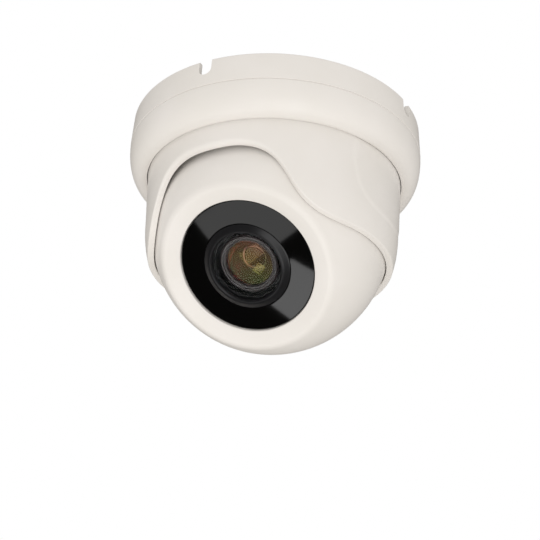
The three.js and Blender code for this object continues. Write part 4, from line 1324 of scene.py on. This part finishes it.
def studio():
    """White to the camera, a bright fill on matt surfaces, and dim in reflections."""
    world = bpy.data.worlds.new("studio")
    bpy.context.scene.world = world
    world.use_nodes = True
    world.node_tree.nodes.clear()
    shades = []
    for colour, strength in (("#ffffff", 1.0), ("#fffdfa", 0.85), ("#2a2622", 0.35)):
        inputs = {"Color": linear(colour), "Strength": strength}
        shades.append(add(world, "ShaderNodeBackground", inputs).outputs[0])
    seen, fill, dim = shades
    rays = add(world, "ShaderNodeLightPath").outputs
    kind = "ShaderNodeMixShader"
    lit = add(world, kind, links={"Fac": rays["Is Diffuse Ray"], 1: dim, 2: fill})
    both = add(world, kind, links={"Fac": rays["Is Camera Ray"], 1: lit.outputs[0], 2: seen})
    add(world, "ShaderNodeOutputWorld", links={"Surface": both.outputs[0]})


CAMERA_AZIMUTH = 26.3
CAMERA_ELEVATION = -30.0
CAMERA_DISTANCE = 0.8
CAMERA_ROLL = 2.71
CAMERA_LENS = 118.65
CAMERA_SENSOR = 36
AIM = Vector((0, 0, -0.035))
FLOOR_HEIGHT = -1.8  # low enough to leave room for the light from below


def camera_directions():
    """The directions from the aim back to the camera, to the view's right and to its top."""
    a, e = math.radians(CAMERA_AZIMUTH), math.radians(CAMERA_ELEVATION)
    back = Vector((math.sin(a) * math.cos(e), -math.cos(a) * math.cos(e), math.sin(e)))
    right = Vector((math.cos(a), math.sin(a), 0))
    up = back.cross(right)
    roll = Matrix.Rotation(math.radians(CAMERA_ROLL), 3, back)
    return back, roll @ right, roll @ up


def add_camera():
    back, right, up = camera_directions()
    data = bpy.data.cameras.new("view")
    data.sensor_width = CAMERA_SENSOR
    data.lens = CAMERA_LENS
    lens = bpy.data.objects.new("view", data)
    bpy.context.scene.collection.objects.link(lens)
    lens.location = AIM + back * CAMERA_DISTANCE
    # the camera's middle stands a little off the middle of the view
    shift_right, shift_up = -0.0061, -0.129
    ahead = -back * data.lens / data.sensor_width + right * shift_right + up * shift_up
    ahead.normalize()
    side = (right - ahead * right.dot(ahead)).normalized()
    top = side.cross(ahead)
    turn = Matrix((side, top, -ahead)).transposed().to_4x4()
    lens.matrix_world = Matrix.Translation(lens.location) @ turn
    bpy.context.scene.camera = lens


def stage():
    bpy.ops.object.select_all(action="DESELECT")
    bpy.ops.mesh.primitive_plane_add(size=24, location=(0, 0, FLOOR_HEIGHT))
    floor = named("studio_floor")
    paint = finish("matt white studio paint", {"Base Color": linear("#f4f3f1"), "Roughness": 0.9})
    floor.data.materials.append(paint)
    floor.visible_glossy = False


def lights():
    back, right, up = camera_directions()
    axis = Vector((0, -math.sin(math.radians(REST_TILT)), -math.cos(math.radians(REST_TILT))))
    mirror = 2 * axis.dot(back) * axis - back  # where the flat window reflects the camera's view

    def toward(degrees, spread_angle):
        """A direction off the mirror direction, clockwise from the view's right."""
        turn = math.radians(degrees)
        sideways = math.cos(turn) * right - math.sin(turn) * up
        return mirror + math.tan(math.radians(spread_angle)) * sideways

    panel("grey card", toward(297, 15), 1.0, 0.5, 0.26, 0.6, colour="#f4f4f3")
    panel("strip", toward(28, 12), 1.0, 0.24, 0.16, 0.3)
    panel("front", back + right * 0.1 + up * 0.1, 1.6, 0.9, 0.9, 3.9)
    panel("low", (0.4, -0.42, -0.82), 1.6, 0.8, 0.8, 3.6)


# ---------------------------------------------------------------- the whole camera

base_housing()
mounting_plate()
foam_gasket()
cover_screws()
glide_ring()

collar_housing()
retaining_ring()
retaining_screws()
swivel_seal()
pivot_screws()

ball_front()
ball_rear()
ball_fittings()
front_trim()
lens_bracket()
cable_grommet()

carrier()
lens_barrel()
front_group()
zoom_group()
rings_and_levers()
dress_kept_pieces()

add_camera()
stage()
studio()
lights()
bpy.context.scene.view_settings.view_transform = "Standard"
